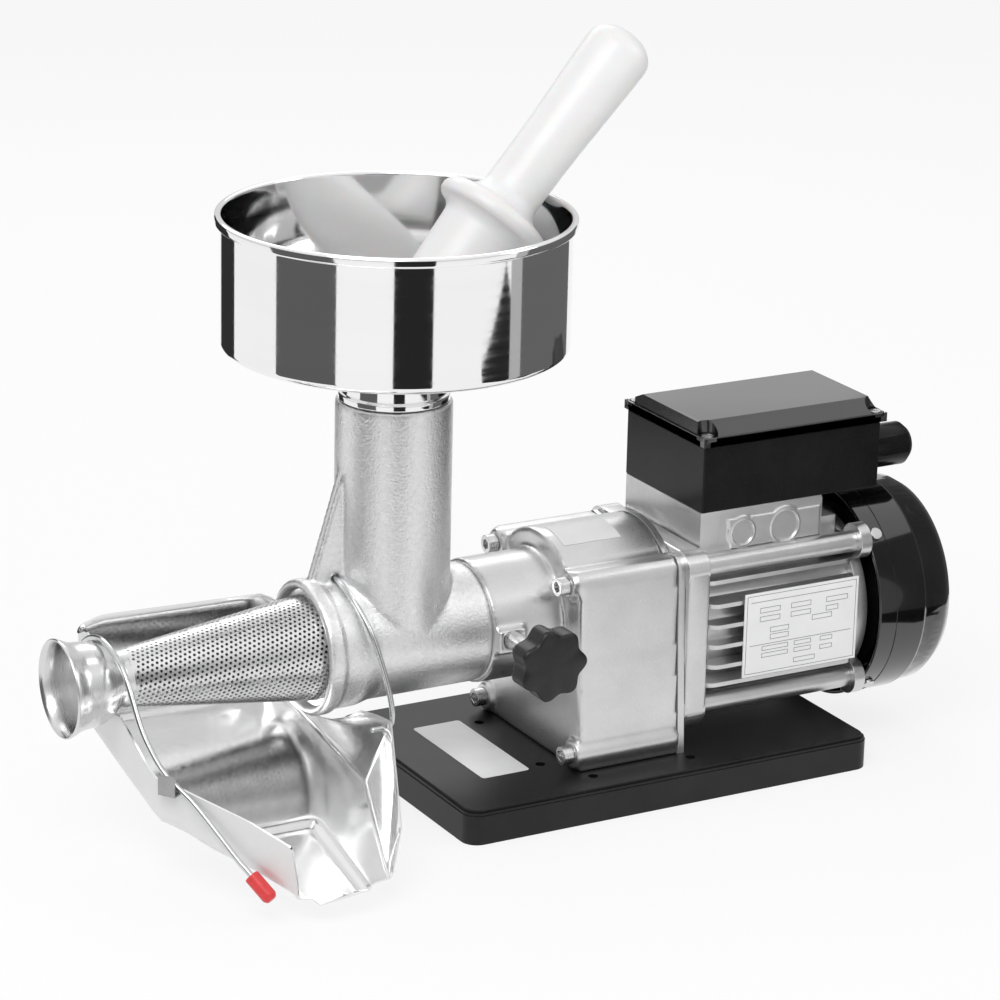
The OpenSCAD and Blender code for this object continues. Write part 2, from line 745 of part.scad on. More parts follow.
// Rear bail: half of its arch, the end that hooks through the tray's right wall, and the end that
// turns forward through the ear of its back wall
rear_half = [
    [-168, 0, 36.7], [-167.7, 12, 34.9], [-166.3, 25, 27.6], [-163.5, 35, 16], [-160.6, 41, 2],
    [-158.2, 45, -12]
];
front_end = [
    [-156.9, 47.2, -24], [-157.2, 47.5, -30], [-160, 47.5, -32.4], [-164, 47.5, -32.5], [-168, 47.5, -32.5]
];
back_end = [
    [-157.6, 49, -22], [-159.6, 52, -29], [-162.6, 52.6, -31.9], [-163.5, 50.5, -32.5], [-163.5, 47, -32.5],
    [-163.5, 42.5, -32.5]
];
module rear_wire() {
    front = [for (p = flip(concat(rear_half, front_end))) [p[0], -p[1], p[2]]];
    arch = [for (i = [1:5]) rear_half[i]];
    color("silver") translate([0, 0, worm_z])
        wire(smooth(concat(front, arch, back_end), 3), wire_r, [0, 0, 1]);
}

// Worm: a core that tapers through the strainer, one helical flight and a hexagonal drive end
worm_front = small_x + 4;
worm_back = bore_end - 2;
core_front_r = 6.5;
core_back_r = 10;
function core_r(x) = core_front_r
    + (core_back_r - core_front_r) * min(1, (x - worm_front) / (flange_x - worm_front));
function flight_r(x) = min(bore_r - 0.8, strainer_r(x) - sheet_t - 1.4);
module worm() {
    steps = 24;
    t = 3;
    turns = (worm_back - 4 - worm_front) / worm_pitch;
    n = floor(turns * steps);
    section = [[-0.6, -t / 2], [0, -t / 2], [0, t / 2], [-0.6, t / 2]];
    points = [for (i = [0:n], c = section)
        let (
            x = worm_front + 2 + worm_pitch * i / steps,
            a = 360 * i / steps,
            r = c[0] < 0 ? core_r(x) - 0.6 : flight_r(x))
        [x + c[1], r * cos(a), r * sin(a)]];
    sides = [for (i = [0:n - 1], k = [0:3])
        let (a = 4 * i + k, b = 4 * i + (k + 1) % 4) each [[a, a + 4, b], [b, a + 4, b + 4]]];
    color("#d9dbdd") union() {
        x_turn([
            [worm_front, 0], [worm_front, core_front_r], [flange_x, core_back_r],
            [worm_back, core_back_r], [worm_back, worm_shaft_r], [tail_x, worm_shaft_r], [tail_x, 0]
        ], worm_z);
        translate([tail_x - 1, 0, worm_z]) rotate([0, 90, 0])
            cylinder(h = 17, r = 6.2, $fn = 6);
        translate([0, 0, worm_z])
            polyhedron(points, concat([[3, 2, 1, 0]], sides, [[4 * n, 4 * n + 1, 4 * n + 2, 4 * n + 3]]));
    }
}

module thrust_washer() {
    color("ivory") x_ring(worm_back, bore_end - 0.3, 16, worm_shaft_r, worm_z);
}

module strainer_cone() {
    color("#c9ccce") x_turn([
        [small_x, cone_small_r - sheet_t], [small_x, cone_small_r],
        [big_x, cone_big_r], [big_x, cone_big_r - sheet_t]
    ], worm_z);
}

module strainer_ring() {
    color("#b7babc") x_ring(big_x, ring_seat_x - 0.3, ring_seat_r - 0.3, cone_big_r - 2, worm_z);
}

module outlet_cup() {
    x = small_x;
    r = cone_small_r;
    m = cup_rim_r;
    color("#d0d3d5") x_turn([
        [x, r - sheet_t], [x, r], [x - 4.6, r + 0.1], [x - 9, r + 2.7], [x - 13, r + 4.9],
        [x - 17, m - 4.4], [x - 21, m - 3.5], [x - 30, m - 2.9], [x - 33.5, m - 1.6],
        [x - 35.6, m], [x - 36.4, m - 0.6], [x - 34.2, m - 2.6], [x - 31, m - 3.9],
        [x - 21, m - 4.5], [x - 17, m - 5.4], [x - 13, r + 3.9], [x - 9, r + 1.7],
        [x - 4.6, r - 0.9]
    ], worm_z);
}

// Hopper: the bowl, and the spigot that is welded under it and stands in the feed neck
module hopper() {
    t = hopper_t;
    b = hopper_bottom;
    color("#d4d6d8") translate([neck_x, 0, 0]) rotate_extrude($fn = 128) polygon([
        [spigot_r, b - 8], [spigot_r + 2, b - 6], [wall_r - 6, b], [wall_r, b + 5],
        [wall_r, rim_z - 5.5], [rim_r - 0.4, rim_z - 4], [rim_r, rim_z - 2], [rim_r - 1, rim_z - 0.4],
        [rim_r - 2.6, rim_z], [wall_r - t, rim_z - 1.5], [wall_r - t, b + 6],
        [wall_r - 7, b + t], [spigot_r + 2, b - 6 + t], [spigot_r, b - 6.1]
    ]);
}

module hopper_spigot() {
    top = hopper_bottom - 6.5;
    color("#d4d6d8") translate([neck_x, 0, 0]) rotate_extrude($fn = 128) polygon([
        [spigot_r - hopper_t, spigot_end], [spigot_r, spigot_end], [spigot_r, neck_top],
        [spigot_r + 2, neck_top], [spigot_r + 2, neck_top + 3], [spigot_r, neck_top + 4],
        [spigot_r, top], [spigot_r - hopper_t, top]
    ]);
}

// Pestle: handle above a guard disc and a blunt plunger below it
guard_point = [neck_x + 58.3, 5, rim_z - 7.5];
plunger_l = 100.2;
module pestle() {
    color("#f2f2f0") translate(guard_point) rotate([0, pestle_lean, 4])
        rotate_extrude($fn = 64) polygon(concat(
            [[0, -plunger_l], [17, -plunger_l]],
            arc([19, 6 - plunger_l], 6, 300, 360, 4),
            [[25, -6], [28, -3], [30, 0]],
            arc([28, 1.5], 2, 350, 450, 4),
            [[22, 5], [18.5, 9]],
            [[17.2, 16], [17.5, handle_l * 0.5], [19.5, handle_l - 12]],
            arc([3.5, handle_l - 12], 16, 5, 85, 7), [[0, handle_l + 4]]));
}

// Tray: floor, back wall, left wall with the cup's notch, left front wall, and the right wall
// that flares outward round the flange
module splash_tray() {
    floor_cos = 1 / norm([1, tray_slope]);
    back = tray_floor(tray_back);
    floor_outline = [
        [tray_left, tray_back], [-182, tray_back], [-182, 12], [-176.6, -27], [-174, -51],
        [-189.5, -89], [-198, -120], [-199, -128], [-221, -136], [-241, -133], spout_left,
        [-290.5, -60.1], [-294, -56], [tray_left, -50]
    ];
    left_top = concat(
        [[-50, -32], [-19, -17.5]], arc([0, 0], cup_notch_r, 230, 360, 10),
        [[19, 9], [23, 15], [29, 18], [41, 18], [tray_back, 14]]);
    color("#cfd2d4") translate([0, 0, worm_z]) difference() {
        union() {
            translate([0, 11, -43]) rotate([atan(tray_slope), 0, 0]) translate([0, 0, -tray_t])
                linear_extrude(tray_t)
                    polygon([for (p = floor_outline) [p[0], (p[1] - 11) / floor_cos]]);
            translate([0, tray_back + tray_t, 0]) rotate([90, 0, 0]) linear_extrude(tray_t)
                polygon([
                    [tray_left, back - 1], [-181, back - 1], [-175, -36.5], [-161, -36.5],
                    [-159.5, -34.5], [-159.5, -30.5], [-161, -28.5], [-179.5, -26],
                    [-176, 9], [-179, 13], [-186, 15.5],
                    [-282, 18], [-291, 17], [tray_left, 12]
                ]);
            translate([tray_left, 0, 0]) rotate([90, 0, 90]) linear_extrude(tray_t)
                polygon(concat(
                    [[tray_back + tray_t, back - 1], [-50, tray_floor(-50) - 1]], left_top,
                    [[tray_back + tray_t, 12]]));
            left_front();
            right_side();
        }
        x_bar(hook_x - 8, hook_x + 8, 3.4, -47.5, hook_z);
        translate([hook_x, tray_back - 1, hook_z]) rotate([-90, 0, 0]) cylinder(h = 4, r = wire_r + 0.4);
        x_bar(tray_left - 1, tray_left + 2, wire_r + 0.7, latch_pivot[1], latch_pivot[2]);
    }
}

module left_front() {
    foot = [[tray_left, -50], [-294, -56], [-290.5, -60.1], [-265, -101], [-252.5, -121], spout_left];
    lips = [-32, -33.5, -34, -45, -53.5, -76];
    ruled(
        [for (p = foot) [p[0], p[1], tray_floor(p[1]) - 1]],
        [for (i = [0:5]) [foot[i][0], foot[i][1], lips[i]]],
        [0.846 * tray_t, 0.533 * tray_t, 0]);
}

module right_side() {
    depths = [46, 40, 36, 30, 20, 10, 0, -10, -20, -28, -40, -51];
    lower_x = [-182, -182, -182, -182, -182, -181.8, -180.4, -179, -177.6, -176.6, -175.3, -174];
    upper_x = [-176, -172, -167, -163, -162, -161, -160.5, -160, -160, -160, -160, -160];
    function notch(y) = -sqrt(max(0, flange_notch_r * flange_notch_r - y * y));
    upper_z = [for (y = depths) y == 46 ? 9 : y >= 40 ? 0 : y >= -28 ? notch(y) : -28 - 0.05 * (y + 28)];
    ruled(
        [for (i = [0:11]) [lower_x[i], depths[i], tray_floor(depths[i]) - 1]],
        [for (i = [0:11]) [upper_x[i], depths[i], upper_z[i]]],
        [tray_t, 0, 0]);
    front = [[-174, -51], [-189.5, -89], [-198, -120], [-199, -128]];
    ruled(
        [for (p = front) [p[0], p[1], tray_floor(p[1]) - 1]],
        [[-160, -51, -27], [-172, -84, -47.5], [-184, -110, -63.5], [-198.5, -129, -75]],
        [tray_t, 0, 0]);
}

// Hook on the left front wall: a ledge under the latch wire and a leaf outside it
hook_mid = [-288.9, -62.7];
hook_out = [-0.846, -0.533];
module tray_hook() {
    color("#b9bcbe") translate([hook_mid[0], hook_mid[1], worm_z - 39.5])
        rotate(atan2(hook_out[1], hook_out[0])) {
            translate([0.1, -5, 0]) cube([6.7, 10, 1]);
            translate([5.8, -5, 0]) cube([1, 10, 11]);
        }
}

// Latch wire: from its pivot in the left wall, over the outlet cup's neck, to the grip
latch_path = [
    [-288, 40, -20], [-295, 40, -20], [-298.2, 40, -19.4], [-299.6, 39, -15], [-300, 34, -2],
    [-300, 27, 10], [-300, 17, 18], [-300, 6, 22], [-300, -4, 22.7], [-300, -17, 19.5],
    [-299.5, -29, 12], [-298.5, -45, -10], [-295.5, -55, -23], [-292, -62.5, -31],
    [-287.8, -69.5, -36.5], [-283, -79, -43.5], [-272, -100, -64], [-269.5, -104.3, -68],
    [-267, -108.7, -72], [-264.5, -113, -76]
];
module latch_wire() {
    color("silver") translate([0, 0, worm_z])
        wire(smooth(latch_path, 3), wire_r, [0, 0, 1]);
}

module latch_cap() {
    start = latch_path[18];
    d = unit(latch_path[19] - latch_path[18]);
    color("#d8262b") translate([0, 0, worm_z]) translate(start)
        rotate([0, acos(d[2]), atan2(d[1], d[0])]) difference() {
            union() {
                translate([0, 0, -1]) cylinder(h = 14, r = 4);
                translate([0, 0, 13]) cylinder(h = 2, r1 = 4, r2 = 2.6);
            }
            translate([0, 0, -2]) cylinder(h = 8.5, r = wire_r + 0.02);
        }
}

base_plate();
rubber_pads();
base_data_plate();
base_screws();
gearbox_housing();
gearbox_gasket();
gearbox_rear_cover();
housing_screws();
output_bearings();
output_oil_seal();
layshaft_bushes();
motor_oil_seal();
motor_end_shield();
motor_housing();
stator_core();
stator_windings();
motor_bearings();
rear_end_shield();
tie_rods();
fan_cover();
fan_cover_screws();
terminal_box();
lid_gasket();
terminal_box_lid();
lid_screws();
capacitor();
terminal_block();
cable_gland();
motor_nameplate();
motor_shaft();
rotor_core();
motor_pinion();
cooling_fan();
layshaft();
lay_gear();
lay_pinion();
output_shaft();
output_gear();
clamp_stud();
clamp_knob();
press_body();
body_seal();
rear_wire();
worm();
thrust_washer();
strainer_cone();
strainer_ring();
outlet_cup();
hopper();
hopper_spigot();
pestle();
splash_tray();
tray_hook();
latch_wire();
latch_cap();
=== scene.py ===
# Electric tomato press: finishes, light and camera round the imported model. Metres, +Z up.
# The numbers of each piece are in millimetres.
import json
import math

import bmesh
import bpy
import numpy as np
from mathutils import Matrix, Vector, geometry

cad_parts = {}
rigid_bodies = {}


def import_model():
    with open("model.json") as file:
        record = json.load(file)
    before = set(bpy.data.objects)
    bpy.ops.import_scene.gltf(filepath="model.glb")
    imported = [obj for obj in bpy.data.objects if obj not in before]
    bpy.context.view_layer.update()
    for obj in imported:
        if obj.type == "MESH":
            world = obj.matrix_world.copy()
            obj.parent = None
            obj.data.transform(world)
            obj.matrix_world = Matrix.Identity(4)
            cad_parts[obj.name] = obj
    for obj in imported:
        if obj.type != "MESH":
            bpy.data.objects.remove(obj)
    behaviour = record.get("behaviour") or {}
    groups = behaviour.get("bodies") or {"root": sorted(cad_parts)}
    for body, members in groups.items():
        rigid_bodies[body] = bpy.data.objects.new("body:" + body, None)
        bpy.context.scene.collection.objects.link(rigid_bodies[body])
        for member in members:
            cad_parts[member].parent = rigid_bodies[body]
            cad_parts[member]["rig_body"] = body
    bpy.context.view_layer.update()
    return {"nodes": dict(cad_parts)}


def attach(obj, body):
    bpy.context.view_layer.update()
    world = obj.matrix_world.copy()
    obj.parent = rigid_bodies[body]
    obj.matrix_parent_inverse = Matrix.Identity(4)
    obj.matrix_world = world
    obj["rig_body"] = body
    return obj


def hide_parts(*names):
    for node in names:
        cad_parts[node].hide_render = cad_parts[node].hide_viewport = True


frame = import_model()
nodes = frame["nodes"]
wormZ = 0.095  # height of the worm's axis
motorZ = 0.079  # height of the motor shaft
neckX = -0.1334  # the feed neck stands here
print("frame loaded:", len(nodes), "nodes")

# Camera, floor and light
# Each lamp: place, width, height, power
studio = {
    "eye": (-1.0430, -1.7104, 0.8103), "azimuth": 29.670, "elevation": 18.279, "roll": 1.357,
    "lens": 139.877, "floorHalf": 12, "floorWhite": 0.93, "floorGlow": 0.8, "roomLight": 0.65,
    "horizon": (0.62, 0.62, 0.63, 1), "aim": (0, 0, 0.15),
    "lamps": {"keyLight": ((-0.9, -0.7, 1.35), 1.1, 0.8, 11.0),
              "fillLight": ((1.3, -0.9, 0.9), 0.7, 1.0, 5.0),
              "backLight": ((0.2, 1.4, 1.2), 1.4, 0.6, 5.0)},
}


def linked(name, data):
    obj = bpy.data.objects.new(name, data)
    bpy.context.scene.collection.objects.link(obj)
    return obj


def gridFaces(rows, cols, wrapRows=False, wrapCols=False):
    # the quads between neighbouring rows and columns of a grid of points
    i, j = np.meshgrid(np.arange(rows - (not wrapRows)), np.arange(cols - (not wrapCols)),
                       indexing="ij")
    a, b = i * cols + j, i * cols + (j + 1) % cols
    c, d = (i + 1) % rows * cols + (j + 1) % cols, (i + 1) % rows * cols + j
    return np.stack([a, b, c, d], -1).reshape(-1, 4)


def makeCamera(s):
    a, e, r = (math.radians(s[k]) for k in ("azimuth", "elevation", "roll"))
    back = np.array([-math.sin(a) * math.cos(e), -math.cos(a) * math.cos(e), math.sin(e)])
    side = np.array([math.cos(a), -math.sin(a), 0])
    up = np.cross(back, side)
    x = math.cos(r) * side + math.sin(r) * up
    y = math.cos(r) * up - math.sin(r) * side
    data = bpy.data.cameras.new("camera")
    data.lens, data.sensor_width, data.clip_end = s["lens"], 36.0, 50
    camera = linked("camera", data)
    turn = np.eye(4)
    turn[:3, 0], turn[:3, 1], turn[:3, 2], turn[:3, 3] = x, y, back, s["eye"]
    camera.matrix_world = Matrix(turn.tolist())
    bpy.context.scene.camera = camera


def makeLamps(s):
    for name, (place, width, height, power) in s["lamps"].items():
        data = bpy.data.lights.new(name, "AREA")
        data.shape, data.size, data.size_y, data.energy = "RECTANGLE", width, height, power
        lamp = linked(name, data)
        lamp.location = place
        lamp.rotation_euler = (Vector(s["aim"]) - Vector(place)).to_track_quat("-Z", "Y").to_euler()


def makeRoom(s):
    world = bpy.data.worlds.new("room")
    bpy.context.scene.world = world
    world.use_nodes = True
    n, link = world.node_tree.nodes, world.node_tree.links.new
    n.clear()
    out = n.new("ShaderNodeOutputWorld")
    seen, lit = n.new("ShaderNodeBackground"), n.new("ShaderNodeBackground")
    seen.inputs["Strength"].default_value = 1.0
    # the room gives a low light, but metal and glass show it at full strength, as a white ceiling
    # that greys towards the horizon
    where, split, ramp = (n.new("ShaderNodeTexCoord"), n.new("ShaderNodeSeparateXYZ"),
                          n.new("ShaderNodeValToRGB"))
    low, high = ramp.color_ramp.elements
    low.position, low.color = 0.0, s["horizon"]
    high.position, high.color = 0.75, (1, 1, 1, 1)
    link(where.outputs["Generated"], split.inputs[0])
    link(split.outputs["Z"], ramp.inputs[0])
    link(ramp.outputs[0], lit.inputs["Color"])
    path, mix = n.new("ShaderNodeLightPath"), n.new("ShaderNodeMixShader")
    shown, level = n.new("ShaderNodeMath"), n.new("ShaderNodeMapRange")
    shown.operation = "MAXIMUM"
    link(path.outputs["Is Glossy Ray"], shown.inputs[0])
    link(path.outputs["Is Transmission Ray"], shown.inputs[1])
    level.inputs["To Min"].default_value, level.inputs["To Max"].default_value = s["roomLight"], 1.0
    link(shown.outputs[0], level.inputs["Value"])
    link(level.outputs[0], lit.inputs["Strength"])
    link(path.outputs["Is Camera Ray"], mix.inputs[0])
    link(lit.outputs[0], mix.inputs[1])
    link(seen.outputs[0], mix.inputs[2])
    link(mix.outputs[0], out.inputs[0])


def makeFloor(s):
    mesh = bpy.data.meshes.new("floor")
    h = s["floorHalf"]
    mesh.from_pydata([(-h, -h, 0), (h, -h, 0), (h, h, 0), (-h, h, 0)], [], [(0, 1, 2, 3)])
    floor = linked("floor", mesh)
    material = bpy.data.materials.new("paleFloor")
    material.use_nodes = True
    n, link = material.node_tree.nodes, material.node_tree.links.new
    shade = n["Principled BSDF"]
    shade.inputs["Base Color"].default_value = (s["floorWhite"],) * 3 + (1,)
    shade.inputs["Roughness"].default_value = 0.6
    shade.inputs["Specular IOR Level"].default_value = 0.2
    glow, mix, path = (n.new("ShaderNodeEmission"), n.new("ShaderNodeMixShader"),
                       n.new("ShaderNodeLightPath"))
    part, either = n.new("ShaderNodeMath"), n.new("ShaderNodeMath")
    either.operation, part.operation = "MAXIMUM", "MULTIPLY"
    part.inputs[1].default_value = s["floorGlow"]
    link(path.outputs["Is Camera Ray"], either.inputs[0])
    link(path.outputs["Is Glossy Ray"], either.inputs[1])
    link(either.outputs[0], part.inputs[0])
    link(part.outputs[0], mix.inputs[0])
    link(shade.outputs[0], mix.inputs[1])
    link(glow.outputs[0], mix.inputs[2])
    link(mix.outputs[0], n["Material Output"].inputs[0])
    mesh.materials.append(material)


# Dark studio flags that only mirrors see, as arcs about the hopper: start, end and grey, in degrees
# anticlockwise from the camera's side, and one card flat on the floor: two corners and grey
flags = {"radius": 0.56, "foot": 0.001, "top": 0.42, "facing": 240.33, "steps": 13, "groundZ": 0.0006,
         "arcs": [(-149, -120, 0.03), (-76, -34, 0.11), (0.7, 24.3, 0.02), (76, 85, 0.45),
                  (85, 145, 0.13)],
         "ground": (0.25, -0.75, 0.62, -0.17, 0.02)}


def makeFlags(f):
    # each card is a strip of steps between a lower and an upper row of points
    cards = []
    for start, end, shade in f["arcs"]:
        a = np.radians(f["facing"] + np.linspace(start, end, f["steps"]))
        ring = np.stack([neckX + f["radius"] * np.cos(a), f["radius"] * np.sin(a), 0 * a], -1)
        cards.append((ring + (0, 0, f["foot"]), ring + (0, 0, f["top"]), shade))
    x0, y0, x1, y1, shade = f["ground"]
    z = f["groundZ"]
    cards.append((np.array([(x0, y0, z), (x1, y0, z)]), np.array([(x0, y1, z), (x1, y1, z)]), shade))
    for k, (lower, upper, shade) in enumerate(cards):
        mesh = bpy.data.meshes.new("flag%d" % k)
        mesh.from_pydata(np.concatenate([lower, upper]).tolist(), [], gridFaces(2, len(lower)).tolist())
        card = linked("flag%d" % k, mesh)
        material = bpy.data.materials.new("flag%d" % k)
        material.use_nodes = True
        n = material.node_tree.nodes
        glow = n.new("ShaderNodeEmission")
        glow.inputs["Color"].default_value = (shade, shade, shade, 1)
        material.node_tree.links.new(glow.outputs[0], n["Material Output"].inputs[0])
        mesh.materials.append(material)
        card.visible_camera = card.visible_diffuse = card.visible_shadow = False
        card.visible_transmission = card.visible_volume_scatter = False


makeCamera(studio)
makeRoom(studio)
makeFloor(studio)
makeFlags(flags)
makeLamps(studio)
bpy.context.scene.view_settings.view_transform = "Standard"
print("studio ready")

# Materials
# Each finish: a large mottle between two colours, a fine grain in the roughness, and a bump.
# Sizes are in millimetres, stretch squeezes the pattern into lines.
looks = {}


def finish(name, low, high, metal, rough, mottle, grain, bump, bumpSize, stretch=(1, 1, 1), **shader):
    material = bpy.data.materials.new(name)
    material.use_nodes = True
    n, link = material.node_tree.nodes, material.node_tree.links.new
    shade = n["Principled BSDF"]
    shade.inputs["Metallic"].default_value = metal
    for key, value in shader.items():
        shade.inputs[key.replace("_", " ")].default_value = value
    where, turn = n.new("ShaderNodeTexCoord"), n.new("ShaderNodeMapping")
    turn.inputs["Scale"].default_value = stretch
    link(where.outputs["Object"], turn.inputs[0])

    def noise(size, depth):
        cloud = n.new("ShaderNodeTexNoise")
        cloud.inputs["Scale"].default_value = 1000.0 / size
        cloud.inputs["Detail"].default_value = depth
        cloud.inputs["Roughness"].default_value = 0.6
        link(turn.outputs[0], cloud.inputs["Vector"])
        return cloud.outputs["Fac"]

    ramp = n.new("ShaderNodeValToRGB")
    dark, pale = ramp.color_ramp.elements
    dark.position, pale.position = 0.32, 0.68
    dark.color, pale.color = (*low, 1), (*high, 1)
    link(noise(mottle, 4), ramp.inputs[0])
    link(ramp.outputs[0], shade.inputs["Base Color"])
    spread = n.new("ShaderNodeMapRange")
    spread.inputs["From Min"].default_value, spread.inputs["From Max"].default_value = 0.3, 0.7
    spread.inputs["To Min"].default_value, spread.inputs["To Max"].default_value = rough
    link(noise(grain, 3), spread.inputs["Value"])
    link(spread.outputs[0], shade.inputs["Roughness"])
    if bump:
        relief = n.new("ShaderNodeBump")
        relief.inputs["Strength"].default_value = 1.0
        relief.inputs["Distance"].default_value = bump / 1000.0
        link(noise(bumpSize, 3), relief.inputs["Height"])
        link(relief.outputs[0], shade.inputs["Normal"])
    looks[name] = material


def grey(v, tint=0.0):
    return (v - tint, v, v + tint)


finish("tumbledCasting", grey(0.78), grey(0.86), 0.95, (0.24, 0.46), 3, 0.7, 0.34, 1.4)
finish("smoothCasting", grey(0.64), grey(0.72), 0.96, (0.26, 0.38), 30, 0.6, 0.010, 0.5)
finish("motorCasting", grey(0.60), grey(0.70), 0.96, (0.28, 0.42), 25, 0.6, 0.014, 0.6)
finish("machinedRim", grey(0.72), grey(0.80), 1.0, (0.14, 0.26), 12, 1.2, 0.02, 1.6)
finish("mirrorSteel", grey(0.86), grey(0.90), 1.0, (0.035, 0.085), 40, 3, 0.003, 2, (0.03, 0.03, 1.0))
finish("cupSteel", grey(0.68), grey(0.77), 1.0, (0.20, 0.30), 30, 2, 0.004, 1.2, (1.0, 0.05, 0.05))
finish("traySteel", grey(0.80), grey(0.86), 1.0, (0.10, 0.17), 60, 3, 0.002, 1.5)
finish("satinSteel", grey(0.80), grey(0.86), 0.6, (0.58, 0.68), 60, 2, 0.004, 0.8)
finish("strainerSteel", grey(0.72), grey(0.80), 1.0, (0.20, 0.30), 10, 1, 0.004, 1)
# the worm is grey steel, darkened as painted shade for the dark inside of the strainer seen through its
# holes
finish("wormSteelPaintedShade", grey(0.16), grey(0.22), 1.0, (0.40, 0.52), 12, 1, 0.02, 1)
finish("wireSteel", grey(0.58, 0.006), grey(0.68, 0.006), 1.0, (0.14, 0.26), 4, 0.5, 0.006, 0.8)
finish("zincSteel", grey(0.62), grey(0.74), 1.0, (0.20, 0.34), 5, 0.6, 0.01, 0.6)
finish("groundSteel", grey(0.45, 0.006), grey(0.56, 0.006), 1.0, (0.22, 0.38), 6, 0.5, 0.01, 0.6)
finish("bearingSteel", grey(0.58), grey(0.66), 1.0, (0.10, 0.20), 6, 1, 0.004, 1)
finish("bronze", (0.56, 0.38, 0.18), (0.68, 0.49, 0.26), 1.0, (0.30, 0.44), 3, 0.5, 0.02, 0.5)
finish("laminations", grey(0.24), grey(0.36), 0.8, (0.35, 0.5), 0.5, 0.5, 0.03, 0.5, (1, 0.05, 0.05))
finish("copperWire", (0.50, 0.20, 0.08), (0.68, 0.32, 0.14), 0.9, (0.25, 0.4), 1.2, 0.6, 0.15, 1.0,
       (0.2, 1, 1))
finish("basePaint", grey(0.006), grey(0.011), 0.0, (0.34, 0.46), 25, 0.5, 0.014, 0.55,
       Specular_IOR_Level=0.32)
finish("coverPaint", grey(0.003), grey(0.006), 0.0, (0.08, 0.13), 30, 1.5, 0.004, 2.5, Coat_Weight=1.0,
       Coat_Roughness=0.03, Specular_IOR_Level=0.5)
finish("boxPlastic", grey(0.005), grey(0.009), 0.0, (0.20, 0.28), 20, 0.6, 0.004, 0.5,
       Specular_IOR_Level=0.22)
finish("lidPlastic", grey(0.005), grey(0.009), 0.0, (0.15, 0.23), 20, 0.6, 0.003, 0.5, Coat_Weight=0.8,
       Coat_Roughness=0.2, Specular_IOR_Level=0.85)
finish("knobPlastic", grey(0.008), grey(0.014), 0.0, (0.30, 0.42), 8, 0.5, 0.014, 0.45,
       Specular_IOR_Level=0.4)
finish("rubber", grey(0.010), grey(0.016), 0.0, (0.6, 0.8), 5, 0.5, 0.03, 0.5)
finish("whitePlastic", grey(0.84), grey(0.87), 0.0, (0.26, 0.38), 25, 1, 0.02, 4,
       Subsurface_Weight=0.25, Subsurface_Scale=0.006)
finish("redPlastic", (0.66, 0.035, 0.04), (0.78, 0.06, 0.06), 0.0, (0.28, 0.42), 4, 0.6, 0.01, 0.8)
finish("hookSteel", grey(0.34), grey(0.42), 1.0, (0.24, 0.36), 8, 0.6, 0.006, 0.8)
finish("printInk", grey(0.10), grey(0.14), 0.0, (0.4, 0.55), 4, 0.5, 0.0, 1)
finish("labelPaper", grey(0.86), grey(0.90), 0.0, (0.30, 0.42), 15, 0.8, 0.002, 0.6)
finish("gasketFibre", grey(0.13), grey(0.22), 0.0, (0.6, 0.8), 1.5, 0.5, 0.05, 0.6)
finish("sealRed", (0.32, 0.04, 0.035), (0.42, 0.07, 0.06), 0.0, (0.45, 0.6), 5, 0.6, 0.02, 0.6)
finish("canMetal", grey(0.68), grey(0.76), 1.0, (0.2, 0.32), 12, 0.8, 0.008, 1)
print("finishes:", len(looks))

# Tools for shapes


def roundedLine(corners, steps=7):
    # a line through [u, v, radius] corners, where each corner is swapped for a quadratic curve
    # that starts and ends one radius away from it
    c = np.array(corners, float)
    p, line = c[:, :2], [c[:1, :2]]
    for i in range(1, len(p) - 1):
        a, b = p[i - 1] - p[i], p[i + 1] - p[i]
        la, lb = np.linalg.norm(a), np.linalg.norm(b)
        r = min(c[i, 2], 0.49 * la, 0.49 * lb)
        if r < 1e-6:
            line.append(p[i:i + 1])
            continue
        t = np.linspace(0, 1, steps)[:, None]
        line.append((1 - t) ** 2 * (p[i] + a / la * r) + 2 * t * (1 - t) * p[i]
                    + t ** 2 * (p[i] + b / lb * r))
    return np.concatenate(line + [p[-1:]])


def roundedRing(x0, x1, y0, y1, r):
    # the outline of a rectangle with round corners, anticlockwise
    q = np.linspace(0, np.pi / 2, 9)
    c, s = np.cos(q), np.sin(q)
    return np.concatenate([
        np.stack([x1 - r + r * c, y1 - r + r * s], -1), np.stack([x0 + r - r * s, y1 - r + r * c], -1),
        np.stack([x0 + r - r * c, y0 + r - r * s], -1), np.stack([x1 - r + r * s, y0 + r - r * c], -1)])


def around(a):
    # points on the unit circle at the angles a
    return np.stack([np.cos(a), np.sin(a)], -1)


def ringEdges(m):
    # each number of a ring of points with the next one
    return np.stack([m, np.roll(m, -1, -1)], -1).reshape(-1, 2)


def filled(flat, edges, mode):
    # flat points joined into triangles between the given edges: points, faces and each point's source
    made = geometry.delaunay_2d_cdt([Vector(q) for q in flat.tolist()], edges.tolist(), [], mode, 1e-5)
    return np.array([tuple(q) for q in made[0]]), made[2], made[3]


def smoothed(mesh, sharp):
    mesh.shade_smooth()
    mesh.set_sharp_from_angle(angle=math.radians(sharp))


def standsFor(obj, node, look):
    # dresses a copy of a node's solid, and lets it ride and stand for that node
    obj.data.materials.clear()
    obj.data.materials.append(looks[look])
    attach(obj, nodes[node]["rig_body"])
    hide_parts(node)


